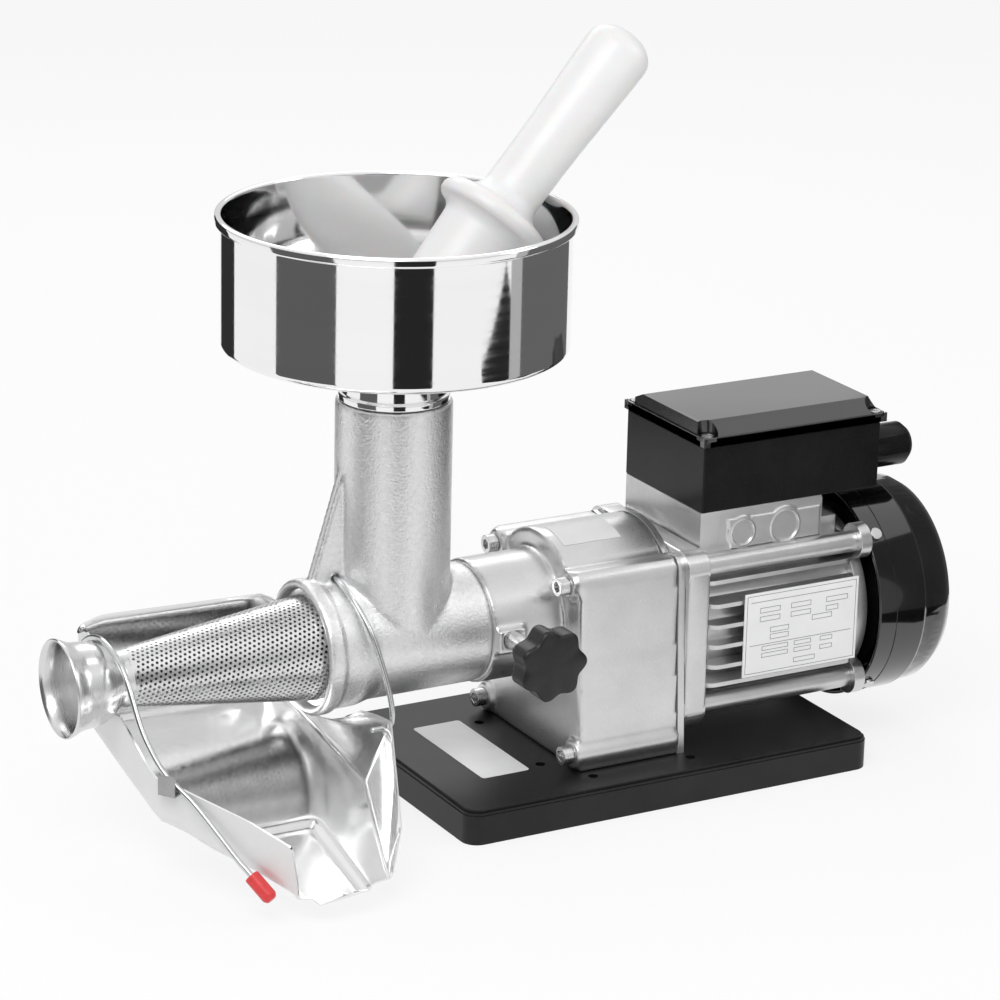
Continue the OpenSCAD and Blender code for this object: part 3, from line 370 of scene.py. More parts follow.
def piece(name, points, faces, body, look, stands, sharp=40):
    # a new piece from a grid or list of points in metres, which stands for the nodes named
    mesh = bpy.data.meshes.new(name)
    mesh.from_pydata(np.asarray(points).reshape(-1, 3).tolist(), [],
                     faces.tolist() if isinstance(faces, np.ndarray) else faces)
    b = bmesh.new()
    b.from_mesh(mesh)
    bmesh.ops.remove_doubles(b, verts=b.verts, dist=2e-6)
    bmesh.ops.dissolve_degenerate(b, edges=b.edges, dist=1e-7)
    bmesh.ops.recalc_face_normals(b, faces=b.faces)
    b.to_mesh(mesh)
    b.free()
    obj = linked(name, mesh)
    mesh.materials.append(looks[look])
    smoothed(mesh, sharp)
    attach(obj, body)
    if stands:
        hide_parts(*stands)
    return obj


def walled(obj, thickness, offset=-1.0, outside=None):
    # gives a surface the thickness of its sheet, and marks its cut edges sharp
    if outside:
        obj.data.materials.append(looks[outside])
    wall = obj.modifiers.new("wall", "SOLIDIFY")
    wall.thickness, wall.offset = thickness / 1000.0, offset
    wall.material_offset = 1 if outside else 0
    mesh = bpy.data.meshes.new_from_object(obj.evaluated_get(bpy.context.evaluated_depsgraph_get()))
    obj.modifiers.clear()
    obj.data = mesh
    smoothed(mesh, 35)


def turned(profile, axis, centre, count=96, closed=True):
    # a profile of [radius, station] in millimetres turned about an axis through centre
    p = np.asarray(profile, float) / 1000.0
    a = np.linspace(0, 2 * np.pi, count, endpoint=False)
    r, s = p[:, :1], p[:, 1:2]
    ring = np.stack([r * np.cos(a), r * np.sin(a), s + 0 * a], -1)
    order = {"x": [2, 0, 1], "y": [0, 2, 1], "z": [0, 1, 2]}[axis]
    return ring[..., order] + np.asarray(centre), gridFaces(len(p), count, closed, True)


def mergedCopy(node):
    mesh = nodes[node].data.copy()
    b = bmesh.new()
    b.from_mesh(mesh)
    bmesh.ops.remove_doubles(b, verts=b.verts, dist=2e-6)
    bmesh.ops.dissolve_degenerate(b, edges=b.edges, dist=1e-6)
    return mesh, b


def trimmed(node, look, width, segments):
    # the node's own solid with its edges broken
    mesh, b = mergedCopy(node)
    bmesh.ops.dissolve_limit(b, angle_limit=math.radians(0.6), verts=b.verts, edges=b.edges)
    b.to_mesh(mesh)
    b.free()
    obj = linked(node + "Trimmed", mesh)
    smoothed(mesh, 34)
    edge = obj.modifiers.new("edges", "BEVEL")
    edge.width, edge.segments, edge.limit_method = width / 1000.0, segments, "ANGLE"
    edge.angle_limit, edge.harden_normals = math.radians(32), True
    edge.use_clamp_overlap = True
    standsFor(obj, node, look)


def casting(node, look, voxel, rounds, weight):
    # the node's solid as a casting: an even skin whose corners are drawn round by averaging each
    # point with its neighbours, a step in and half a step out so that it keeps its size
    mesh, b = mergedCopy(node)
    b.to_mesh(mesh)
    b.free()
    obj = linked(node + "Casting", mesh)
    skin = obj.modifiers.new("skin", "REMESH")
    skin.mode, skin.voxel_size = "VOXEL", voxel / 1000.0
    made = bpy.data.meshes.new_from_object(obj.evaluated_get(bpy.context.evaluated_depsgraph_get()))
    obj.modifiers.clear()
    obj.data = made
    co = np.empty(len(made.vertices) * 3, np.float32)
    made.vertices.foreach_get("co", co)
    co = co.reshape(-1, 3).astype(float)
    ends = np.empty(len(made.edges) * 2, np.int32)
    made.edges.foreach_get("vertices", ends)
    a, c = ends.reshape(-1, 2).T
    count = np.bincount(a, minlength=len(co)) + np.bincount(c, minlength=len(co))
    count = np.maximum(count, 1)[:, None]
    share = weight(co)[:, None]
    for pull in (0.62, -0.3) * rounds:
        mean = np.stack([np.bincount(a, co[c, k], len(co)) + np.bincount(c, co[a, k], len(co))
                         for k in range(3)], -1) / count
        co += pull * share * (mean - co)
    made.vertices.foreach_set("co", co.astype(np.float32).ravel())
    made.update()
    made.shade_smooth()
    standsFor(obj, node, look)
    print("casting", node, len(made.vertices), "points")


def smoothLine(points, steps=8):
    # Catmull-Rom line through the given points
    p = np.asarray(points, float)
    q = np.concatenate([2 * p[:1] - p[1:2], p, 2 * p[-1:] - p[-2:-1]])
    t = np.linspace(0, 1, steps, endpoint=False)[None, :, None]
    a, b, c, d = (q[k:len(q) - 3 + k, None] for k in range(4))
    line = 0.5 * (2 * b + (c - a) * t + (2 * a - 5 * b + 4 * c - d) * t ** 2
                  + (3 * b - a - 3 * c + d) * t ** 3)
    return np.concatenate([line.reshape(-1, 3), p[-1:]])


def tube(path, radius, sides=16):
    # a ring of points carried along a path, with round ends, in millimetres
    p = np.asarray(path, float)
    way = np.gradient(p, axis=0)
    way /= np.linalg.norm(way, axis=1)[:, None]
    up = np.empty_like(way)
    v = np.array([0, 0, 1.0])
    for k, w in enumerate(way):
        v = v - w * (v @ w)
        v /= np.linalg.norm(v)
        up[k] = v
    out = np.cross(way, up)
    cap = np.radians([90, 65, 40, 18])
    p = np.concatenate([p[:1] - way[:1] * radius * np.sin(cap)[:, None],
                        p, p[-1:] + way[-1:] * radius * np.sin(cap[::-1])[:, None]])
    r = np.concatenate([np.cos(cap), np.ones(len(way)), np.cos(cap[::-1])]) * radius
    up, out = (np.pad(v, ((len(cap), len(cap)), (0, 0)), "edge") for v in (up, out))
    a = np.linspace(0, 2 * np.pi, sides, endpoint=False)[None, :, None]
    ring = p[:, None] + r[:, None, None] * (np.cos(a) * up[:, None] + np.sin(a) * out[:, None])
    return ring / 1000.0, gridFaces(len(p), sides, False, True)


# Solids: the finish of each node that keeps its shape or is trimmed
carried = {
    "rubber": ["rubber_pads", "output_oil_seal", "motor_oil_seal"],
    "zincSteel": ["base_screws", "tie_rods", "fan_cover_screws", "lid_screws", "clamp_stud",
                  "housing_screws"],
    "gasketFibre": ["gearbox_gasket", "lid_gasket"],
    "bearingSteel": ["output_bearings", "motor_bearings"],
    "bronze": ["layshaft_bushes"],
    "laminations": ["stator_core", "rotor_core"],
    "copperWire": ["stator_windings"],
    "groundSteel": ["motor_shaft", "motor_pinion", "layshaft", "lay_gear", "lay_pinion", "output_shaft",
                    "output_gear"],
    "boxPlastic": ["cooling_fan", "cable_gland", "terminal_box"],
    "canMetal": ["capacitor"],
    "whitePlastic": ["terminal_block", "thrust_washer", "pestle"],
    "sealRed": ["body_seal"],
    "smoothCasting": ["gearbox_rear_cover", "motor_end_shield", "rear_end_shield", "gearbox_housing"],
    "wormSteelPaintedShade": ["worm"],
    "motorCasting": ["motor_housing"],
    "labelPaper": ["base_data_plate", "motor_nameplate"],
    "basePaint": ["base_plate"],
    "coverPaint": ["fan_cover"],
    "lidPlastic": ["terminal_box_lid"],
    "machinedRim": ["strainer_ring"],
    "hookSteel": ["tray_hook"],
    "traySteel": ["splash_tray"],
    "strainerSteel": ["strainer_cone"],
    "wireSteel": ["rear_wire", "latch_wire"],
    "redPlastic": ["latch_cap"],
    "tumbledCasting": ["press_body"],
    "mirrorSteel": ["hopper", "hopper_spigot"],
    "cupSteel": ["outlet_cup"],
    "knobPlastic": ["clamp_knob"],
}
lookOf = {name: look for look, names in carried.items() for name in names}
for name, look in lookOf.items():
    nodes[name].data.materials.clear()
    nodes[name].data.materials.append(looks[look])

# width in millimetres and steps of each trimmed solid's broken edges
brokenEdges = {
    "base_plate": (1.6, 4), "terminal_box": (1.4, 3), "terminal_box_lid": (0.9, 3), "fan_cover": (0.7, 3),
    "fan_cover_screws": (0.5, 2), "lid_screws": (0.3, 2), "cable_gland": (0.6, 2),
    "motor_housing": (0.5, 2), "motor_end_shield": (0.9, 3), "rear_end_shield": (0.9, 3),
    "gearbox_rear_cover": (0.8, 3), "housing_screws": (0.35, 2), "clamp_stud": (0.4, 2),
    "strainer_ring": (0.5, 2), "tray_hook": (0.25, 2), "latch_cap": (0.6, 3),
    "motor_nameplate": (0.15, 1), "base_data_plate": (0.1, 1),
}
for name, (width, segments) in brokenEdges.items():
    trimmed(name, lookOf[name], width, segments)
print("trimmed solids done")

# places and fades are in metres
castings = {"voxel": 1.25, "pressRounds": 14, "boxRounds": 6, "filletZ": 0.030, "filletHalf": 0.016,
            "filletX": 0.045, "lipShare": 0.55, "footZ": 0.0195, "footFade": 0.004, "rearX": 0.0145,
            "rearFade": 0.003, "flatShare": 0.06}


def pressWeight(co):
    # the neck meets the tube in a wide fillet, the flange's lip keeps more of its shape
    near = np.abs(co[:, 2] - wormZ - castings["filletZ"]) < castings["filletHalf"]
    return np.where(near & (np.abs(co[:, 0] - neckX) < castings["filletX"]), 1.0, castings["lipShare"])


def boxWeight(co):
    # the box's foot stands flat on the base, and its rear face meets the gasket
    foot = np.clip((co[:, 2] - castings["footZ"]) / castings["footFade"], 0, 1)
    rear = np.clip((castings["rearX"] - co[:, 0]) / castings["rearFade"], 0, 1)
    return castings["flatShare"] + (1 - castings["flatShare"]) * foot * rear


for name, rounds, weight in (("press_body", castings["pressRounds"], pressWeight),
                             ("gearbox_housing", castings["boxRounds"], boxWeight)):
    casting(name, lookOf[name], castings["voxel"], rounds, weight)

# Hopper: radii and heights
hopper = {"rim": 93.8, "wall": 91.0, "sheet": 1.2, "top": 324.5, "bottom": 253.0, "corner": 7.0,
          "roll": 2.4, "spigot": 27.5, "foot": 204.0, "collar": (226.0, 229.5)}


def makeHopper(h):
    # up the outside from the spigot's foot, over the rolled rim and down the inside
    rim, wall, t, top, low = (h[k] for k in ("rim", "wall", "sheet", "top", "bottom"))
    pipe, foot, corner, roll = (h[k] for k in ("spigot", "foot", "corner", "roll"))
    under, over = h["collar"]
    line = roundedLine([
        [pipe - t, foot, 0], [pipe, foot, 0.3], [pipe, under, 0.3], [pipe + 2, under, 0.8],
        [pipe + 2, over, 1], [pipe, over + 0.5, 0.6], [pipe, low - 7.5, 2], [wall - 4, low, 5],
        [wall, low + 2.4, corner], [wall, top - 5.2, 0.6], [rim, top - 5.0, roll], [rim, top, roll],
        [wall - t, top, roll], [wall - t, low + 4, corner - 1], [wall - 5, low + t, 4],
        [pipe + 2, low - 5.5, 3], [pipe - t, low - 8, 2], [pipe - t, foot, 0]], 9)
    points, faces = turned(line[:-1], "z", (neckX, 0, 0), 192)
    piece("feedHopper", points, faces, "hopper", "mirrorSteel", ["hopper", "hopper_spigot"],
          40)


makeHopper(hopper)

# Pestle: where its guard sits, its lean and yaw in degrees, and its profile of radius, height from
# the guard and corner radius
pestle = {"guard": (neckX * 1000 + 62.0, 5.0, 317.0), "lean": 43.2, "yaw": 4.0, "profile": [
    (0, -93, 0), (18, -93, 6), (23.4, -13, 5), (27, -9.2, 3), (31.6, -7.8, 3), (32.4, -2.6, 3),
    (29.4, 1.2, 3), (21, 3.4, 5), (16, 9, 8), (16.2, 45.6, 10), (18.4, 100, 8), (18.4, 111, 10),
    (10, 117.6, 7), (0, 118.4, 0)]}


def makePestle(p):
    ring, faces = turned(roundedLine(p["profile"], 9), "z", (0, 0, 0), 96, False)
    lean, yaw = math.radians(p["lean"]), math.radians(p["yaw"])
    tilt = np.array([[math.cos(lean), 0, math.sin(lean)], [0, 1, 0],
                     [-math.sin(lean), 0, math.cos(lean)]])
    turn = np.array([[math.cos(yaw), -math.sin(yaw), 0], [math.sin(yaw), math.cos(yaw), 0], [0, 0, 1]])
    points = ring @ (turn @ tilt).T + np.array(p["guard"]) / 1000.0
    piece("pestleBody", points, faces, "pestle", "whitePlastic", ["pestle"], 50)


makePestle(pestle)

# Strainer
strainer = {"smallX": -288.0, "bigX": -183.0, "smallR": 15.3, "bigR": 28.3, "sheet": 0.8, "hole": 1.55,
            "pitch": 2.8, "margin": 1.5, "sides": 10, "halfCount": 40, "arcPoints": 72, "sidePoints": 48}


def makeStrainer(s):
    # the sheet is laid out flat as a sector of a ring, holes are set on a staggered grid and the
    # rest is filled with triangles; then each flat point (distance from the apex, angle) is rolled
    # up to (station, turn) on the cone
    slope = (s["bigR"] - s["smallR"]) / math.hypot(s["bigX"] - s["smallX"], s["bigR"] - s["smallR"])
    near, far, half = s["smallR"] / slope, s["bigR"] / slope, math.pi * slope
    p, margin, many = s["pitch"], s["margin"], s["halfCount"]
    first = near * math.cos(half)
    rows = int((far - first) / (p * math.sqrt(3) / 2)) + 3
    i, j = np.meshgrid(np.arange(rows), np.arange(-many, many + 1), indexing="ij")
    x, y = (first + i * p * math.sqrt(3) / 2).ravel(), ((j + 0.5 * (i % 2)) * p).ravel()
    rho, phi = np.hypot(x, y), np.arctan2(y, x)
    keep = (rho > near + margin) & (rho < far - margin) & (np.abs(phi) * rho < half * rho - margin)
    centre = np.stack([x, y], -1)[keep]
    rims = centre[:, None] + s["hole"] / 2 * around(np.linspace(0, 2 * np.pi, s["sides"], endpoint=False))
    arc = np.linspace(-half, half, s["arcPoints"])
    down = np.linspace(near, far, s["sidePoints"])[:, None]
    side = np.array([math.cos(half), math.sin(half)])
    outer = np.concatenate([near * around(arc)[:-1], (down * side)[:-1], far * around(arc[::-1])[:-1],
                            (down[::-1] * side * (1, -1))[:-1]])
    rings = len(outer) + np.arange(len(centre) * s["sides"]).reshape(-1, s["sides"])
    points, faces, origin = filled(np.concatenate([outer, rims.reshape(-1, 2)]), np.concatenate(
        [ringEdges(np.arange(len(outer))), ringEdges(rings)]), 0)
    # triangles within one hole or outside the sector are left out
    source = np.array([o[0] if o else -1 for o in origin])
    owner = np.where(source >= len(outer), (source - len(outer)) // s["sides"], -1 - source)
    tri = np.array([f for f in faces if len(f) == 3])
    own, mid = owner[tri], points[tri].mean(1)
    inside = (np.hypot(*mid.T) > near) & (np.abs(np.arctan2(mid[:, 1], mid[:, 0])) < half)
    tri = tri[~((own[:, 0] == own[:, 1]) & (own[:, 1] == own[:, 2])) & inside]
    rho, turn = np.hypot(*points.T), np.arctan2(points[:, 1], points[:, 0]) / slope
    share = (rho - near) / (far - near)
    radius = s["smallR"] + share * (s["bigR"] - s["smallR"])
    station = s["smallX"] + share * (s["bigX"] - s["smallX"])
    place = np.stack([station, radius * np.sin(turn), wormZ * 1000 - radius * np.cos(turn)], -1) / 1000.0
    obj = piece("strainerSheet", place, tri, "strainer", "strainerSteel", ["strainer_cone"],
                40)
    # the seam is closed, and the first faces tell whether the normals point away from the axis
    b = bmesh.new()
    b.from_mesh(obj.data)
    bmesh.ops.remove_doubles(b, verts=b.verts, dist=2e-5)
    b.normal_update()
    axis = Vector((0, 0, wormZ))
    if sum(f.normal.yz.dot((f.calc_center_median() - axis).yz) for f in b.faces[:50]) < 0:
        bmesh.ops.reverse_faces(b, faces=b.faces)
    b.to_mesh(obj.data)
    b.free()
    walled(obj, s["sheet"])
    print("strainer holes:", len(centre), "faces:", len(obj.data.polygons))


makeStrainer(strainer)

# Outlet cup
cup = {"x": -288.0, "neck": 15.3, "mouth": 26.1, "sheet": 0.9}


def makeCup(c):
    # out along the outside from the neck, over the mouth's bead and back along the inside
    x, r, m, t = c["x"], c["neck"], c["mouth"], c["sheet"]
    line = roundedLine([
        [r - t, x + 0.2, 0], [r, x + 0.2, 0.2], [r + 0.1, x - 5, 4], [r + 4.4, x - 12, 3],
        [m - 3.9, x - 18, 5], [m - 3.2, x - 28, 5], [m - 0.6, x - 33.5, 1.2], [m, x - 35.4, 1],
        [m - 0.6, x - 36.4, 0.6], [m - 2.4, x - 34.5, 1.2], [m - 3.9, x - 30, 4], [m - 4.6, x - 19, 5],
        [r + 3.3, x - 11.5, 3], [r - t, x - 5, 4], [r - t, x + 0.2, 0]], 8)
    points, faces = turned(line[:-1], "x", (0, 0, wormZ), 128)
    piece("outletCup", points, faces, "strainer", "cupSteel", ["outlet_cup"], 45)


makeCup(cup)

# Splash tray
# Stations round the rim, in millimetres from the worm's axis: floor x, y, rim x, y, z, bend radius
tray = {
    "sheet": 1.0, "slope": 0.256, "level": -43.0, "levelY": 11, "lip": 3.0, "samples": 600,
    "right": [
        (-199.5, -127, -199, -128, -75, 1), (-198, -120, -182.5, -106.5, -60.5, 1.6),
        (-174.5, -52, -160, -51, -27.5, 1.8), (-175.4, -40, -162.2, -40, -27.4, 2),
        (-176.3, -28, -165.1, -28, -28.6, 2), (-176.9, -20, -169.4, -20, -34.6, 2),
        (-177.7, -10, -173.2, -10, -38.7, 2), (-178.5, 0, -175.8, 0, -40, 2),
        (-179.2, 10, -177.1, 10, -38.7, 2), (-180, 20, -177.2, 20, -34.6, 2),
        (-180.8, 30, -175.5, 30, -26.5, 3), (-181.2, 36, -173, 36, -17.4, 4),
        (-181.6, 41, -174, 41, 0, 6)],
    "back": [
        (-184, 46, -177, 46, 10, 10), (-189, 46, -186, 46, 15.5, 18), (-230, 46, -230, 46, 16.6, 22),
        (-280, 46, -280, 46, 18, 20), (-290, 46, -290, 46, 15, 14)],
    "left": [
        (-295, 41, -295, 41, 12, 12), (-295, 29, -295, 29, 18, 12), (-295, 23, -295, 23, 15, 12),
        (-295, 19, -295, 19, 9, 12), (-295, 17.5, -295, 17.5, 0, 12),
        (-295, 15.2, -295, 15.2, -8.7, 12), (-295, 8.7, -295, 8.7, -15.2, 12),
        (-295, 0, -295, 0, -17.5, 12), (-295, -8.7, -295, -8.7, -15.6, 12),
        (-295, -12, -295, -12, -14.8, 12), (-295, -19, -295, -19, -17.5, 12),
        (-295, -48, -295, -48, -31, 13)],
    "front": [
        (-294, -56, -294, -56, -33.5, 14), (-290.5, -61, -290.5, -61, -34.2, 14),
        (-265, -101, -265, -101, -45, 12), (-251, -122.5, -251, -122.5, -54, 5),
        (-249.5, -125.5, -249.5, -125.5, -75, 1)],
    "spout": [(-243, -127), (-241, -132.5), (-213.5, -131.5), (-208.5, -128)],
    # where the spout's step starts in x and y, its depth and its softness
    "press": (-215.0, -73.0, 2.6, 3.4),
    "floorBox": (-294, -136, -172, 46), "floorGrid": 2.2, "floorClear": 1.0, "middleX": -240.0,
    # the ear is flat in x and z: its outline with corner radii, its hole's place and radius
    "ear": [(-183, -36, 0), (-175, -36.5, 2), (-161, -36.5, 2.5), (-159.5, -32.5, 2.5),
            (-161, -28.5, 2.5), (-179.5, -26, 2), (-183, -22, 0), (-183, -36, 0)],
    "earHole": (-163.5, -32.5, 1.9), "earY": 46.0, "earPoints": 24,
}


def trayFloor(x, y):
    # the sloping plane, with the spout pressed down by a soft step on two sides
    px, py, deep, soft = tray["press"]
    step = 1 / (1 + np.exp(-(px - x) / soft * 3)) / (1 + np.exp(-(py - y) / soft * 3))
    return tray["level"] + tray["slope"] * (y - tray["levelY"]) - deep * step


def floorPoints(t, edge):
    # an even grid of points, of which those within the floor's edge and clear of it are kept
    x0, y0, x1, y1 = t["floorBox"]
    x, y = np.meshgrid(np.arange(x0, x1, t["floorGrid"]), np.arange(y0, y1, t["floorGrid"]), indexing="ij")
    inner = np.stack([x.ravel(), y.ravel()], -1)
    a, b = edge, np.roll(edge, -1, 0)
    span = b - a
    cut = (a[None, :, 1] > inner[:, None, 1]) != (b[None, :, 1] > inner[:, None, 1])
    cross = a[None, :, 0] + (inner[:, None, 1] - a[None, :, 1]) * span[None, :, 0] / (
        span[None, :, 1] + 1e-12)
    inner = inner[(cut & (inner[:, None, 0] < cross)).sum(1) % 2 == 1]
    share = np.clip(((inner[:, None] - a[None]) * span).sum(-1) / ((span ** 2).sum(-1) + 1e-12), 0, 1)
    gap = np.linalg.norm(inner[:, None] - a[None] - share[..., None] * span, axis=-1).min(1)
    return inner[gap > t["floorClear"]]


def makeTray(t):
    # rim stations are joined by straight lines and then averaged along the rim, which breaks the
    # upright folds; across the sheet a quadratic curve turns the floor up into each wall
    rim = np.array(t["right"] + t["back"] + t["left"] + t["front"], float)
    run = np.concatenate([[0], np.cumsum(np.hypot(*np.diff(rim[:, :2] + rim[:, 2:4] * 0.5, axis=0).T))])
    at = np.linspace(0, run[-1], t["samples"])
    rim = np.stack([np.interp(at, run, rim[:, k]) for k in range(6)], -1)
    atBack = np.clip((rim[:, 1:2] - 20) / 6, 0, 1)
    for near, share in ((9, atBack), (5, 1.0)):
        half = near // 2
        soft = np.pad(rim, ((half, half), (0, 0)), "edge")
        mean = sum(soft[k:k + len(rim)] for k in range(near)) / near
        rim[half:-half] = (rim + (mean - rim) * share)[half:-half]
    foot = np.concatenate([rim[:, :2], trayFloor(rim[:, 0], rim[:, 1])[:, None]], -1)
    top = rim[:, 2:5]
    along = np.gradient(foot[:, :2], axis=0)
    inward = np.stack([-along[:, 1], along[:, 0], 0 * at], -1)
    inward /= np.linalg.norm(inward, axis=1)[:, None]
    tall = np.linalg.norm(top - foot, axis=1)[:, None]
    wall = (top - foot) / tall
    bend = np.minimum(rim[:, 5:6], 0.45 * tall)
    start = foot + inward * bend
    start[:, 2] = trayFloor(start[:, 0], start[:, 1])
    end = foot + wall * bend
    q = np.linspace(0, 1, 7)[:, None, None]
    rise = np.linspace(0, 1, 9)[1:, None, None]
    lip = np.minimum(t["lip"], 0.3 * tall) * np.clip((foot[:, 1:2] - 38) / 6, 0.05, 1)
    grid = np.concatenate([
        (1 - q) ** 2 * start + 2 * q * (1 - q) * foot + q ** 2 * end,
        end + (top - wall * lip - end) * rise,
        (top - wall * lip * 0.45 - inward * lip * 0.12)[None], (top - inward * lip * 0.45)[None]])
    # floor: the start line, the spout's front and the grid inside, joined into triangles
    edge = np.concatenate([start[:, :2], np.array(t["spout"], float)])
    xy, faces, _ = filled(np.concatenate([edge, floorPoints(t, edge)]), ringEdges(np.arange(len(edge))), 1)
    floor = np.concatenate([xy, trayFloor(xy[:, 0], xy[:, 1])[:, None]], -1)
    rows, cols = grid.shape[:2]
    points = np.concatenate([grid.reshape(-1, 3), floor]) + (0, 0, wormZ * 1000)
    faces = gridFaces(rows, cols).tolist() + [[i + rows * cols for i in f] for f in faces]
    obj = piece("splashTray", points / 1000.0, faces, "tray", "traySteel", ["splash_tray"],
                40)
    # a face in the floor's middle tells which way the normals point
    middle = min(obj.data.polygons, key=lambda f: abs(f.center.x - t["middleX"] / 1000) + abs(f.center.y))
    if middle.normal.z < 0:
        obj.data.flip_normals()
    walled(obj, t["sheet"], outside="satinSteel")
    print("tray points:", len(obj.data.vertices))


def makeEar(t):
    # the ear on the back wall that the bail's end turns in, a ring of points round its hole
    outline = roundedLine(t["ear"])[:-1]
    x, z, radius = t["earHole"]
    hole = (x, z) + radius * around(np.linspace(0, 2 * np.pi, t["earPoints"], endpoint=False))
    first, second = np.arange(len(outline)), len(outline) + np.arange(len(hole))
    flat, faces, _ = filled(np.concatenate([outline, hole]),
                            np.concatenate([ringEdges(first), ringEdges(second)]), 1)
    atHole = np.abs(np.hypot(*(flat - (x, z)).T) - radius) < 0.05
    points = np.column_stack([flat[:, 0], np.full(len(flat), t["earY"]), flat[:, 1] + wormZ * 1000])
    obj = piece("trayEar", points / 1000.0, [f for f in faces if not atHole[f].all()], "tray",
                "traySteel", [], 40)
    walled(obj, t["sheet"], 0.0)


makeTray(tray)
makeEar(tray)

# Clamp knob
knob = {"x": -80.0, "front": -84.0, "back": -68.0, "radius": 20.0, "lobes": 7, "depth": 3.2,
        "edge": 1.6, "domeEdge": 2.6, "bore": 5.0, "boss": (10.0, -62.0, -68.6), "steps": 168}


def makeKnob(k):
    # radius = share of (star radius less inset), at stations from the back's bore to the domed front
    a = np.linspace(0, 2 * np.pi, k["steps"], endpoint=False)
    star = k["radius"] - k["depth"] * (1 - np.cos(k["lobes"] * a)) / 2
    t = np.linspace(0, 1, 7) * np.pi / 2
    back, run, edge, dome = k["back"], k["front"] - k["back"], k["edge"], k["domeEdge"]
    share = np.concatenate([[0.52, 0.7, 0.85], np.ones(18), np.linspace(0.93, 0.0, 10)])
    inset = np.concatenate([np.full(3, edge), edge - edge * np.sin(t), np.zeros(4),
                            dome * (1 - np.cos(t)), np.full(10, dome)])
    y = np.concatenate([np.full(3, back), back + run * 0.1 * (1 - np.cos(t)),
                        back + run * np.linspace(0.2, 0.7, 4), back + run * (0.78 + 0.14 * np.sin(t)),
                        back + run * (0.92 + 0.08 * np.sin(np.linspace(0.15, 1, 10) * np.pi / 2))])
    r = share[:, None] * (star[None] - inset[:, None])
    grid = np.stack([k["x"] + r * np.cos(a), y[:, None] + 0 * r, wormZ * 1000 + r * np.sin(a)], -1)
    wide, outer, inner = k["boss"]
    boss, bossFaces = turned(roundedLine([[k["bore"], outer, 0], [wide, outer, 1], [wide, inner, 0],
                                          [k["bore"], inner, 0]]), "y", (k["x"] / 1000, 0, wormZ), 72)
    points = np.concatenate([grid.reshape(-1, 3) / 1000.0, boss.reshape(-1, 3)])
    faces = np.concatenate([gridFaces(len(y), len(a), False, True), bossFaces + len(y) * len(a)])
    piece("clampKnob", points, faces, "clamp_handle", "knobPlastic", ["clamp_knob"], 50)


makeKnob(knob)

# Small pieces of the drive: shield corners, lid's skirt, knock-outs, printed lines, label and seam
shield = {"x": (19.7, 33.4), "half": 53.0, "top": 52.0, "bottom": -50.5, "corner": 13.0, "round": 2.2,
          "inner": 46.2}


def makeShield(h):
    # a ring between a circle and a rounded square, whose outer edges are turned in by a quarter
    # round; each point's station comes first
    outline = roundedRing(-h["half"], h["half"], h["bottom"], h["top"], h["corner"])
    step = np.linspace(0, 1, 8)[None, :-1, None]
    section = (outline[:, None] + (np.roll(outline, -1, 0) - outline)[:, None] * step).reshape(-1, 2)
    hole = h["inner"] * around(np.arctan2(section[:, 1], section[:, 0]))
    size = np.linalg.norm(section, axis=1)[:, None]
    q = np.linspace(0, np.pi / 2, 5)
    x0, x1, r = *h["x"], h["round"]
    inset = np.concatenate([r * (1 - np.sin(q)), r * (1 - np.cos(q))])
    x = np.concatenate([x0 + r * (1 - np.cos(q)), x1 - r + r * np.sin(q)])
    rings = [np.insert(section * (1 - i / size), 0, at, 1) for at, i in zip(x, inset)]
    rings = [np.insert(hole, 0, x0, 1)] + rings + [np.insert(hole, 0, x1, 1)]
    piece("shieldCorners", (np.array(rings) + (0, 0, motorZ * 1000)) / 1000.0,
          gridFaces(len(rings), len(section), True, True), "base", "smoothCasting", [],
          34)


makeShield(shield)

skirt = {"x": (32.7, 151.0), "half": 41.5, "z": (187.0, 192.0), "corner": 4.0, "wall": 1.4}


def makeSkirt(k):
    # a thin wall round the lid's edge: up the outside, over a soft edge and down the inside
    (x0, x1), h, (low, top), r, w = k["x"], k["half"], k["z"], k["corner"], k["wall"]
    levels = [(0, low), (0, top - 0.5), (0.15, top - 0.15), (0.5, top), (w - 0.2, top),
              (w, top - 0.2), (w, low)]
    rings = [np.insert(roundedRing(x0 + i, x1 - i, i - h, h - i, r - i), 2, z, 1) for i, z in levels]
    piece("lidSkirt", np.array(rings) / 1000.0, gridFaces(len(rings), len(rings[0]), True, True), "base",
          "lidPlastic", [], 40)


makeSkirt(skirt)

pad = {"y": -39.0, "x": (46.0, 113.0), "z": (121.5, 148.5), "step": 0.4, "raise": 0.9, "sink": 1.5,
       "rim": 0.5, "skirt": 2.5, "panel": (51.0, 111.0, 126.5, 143.5),
       "discs": [(61.0, 135.0, 6.6), (88.2, 135.0, 8.4)]}


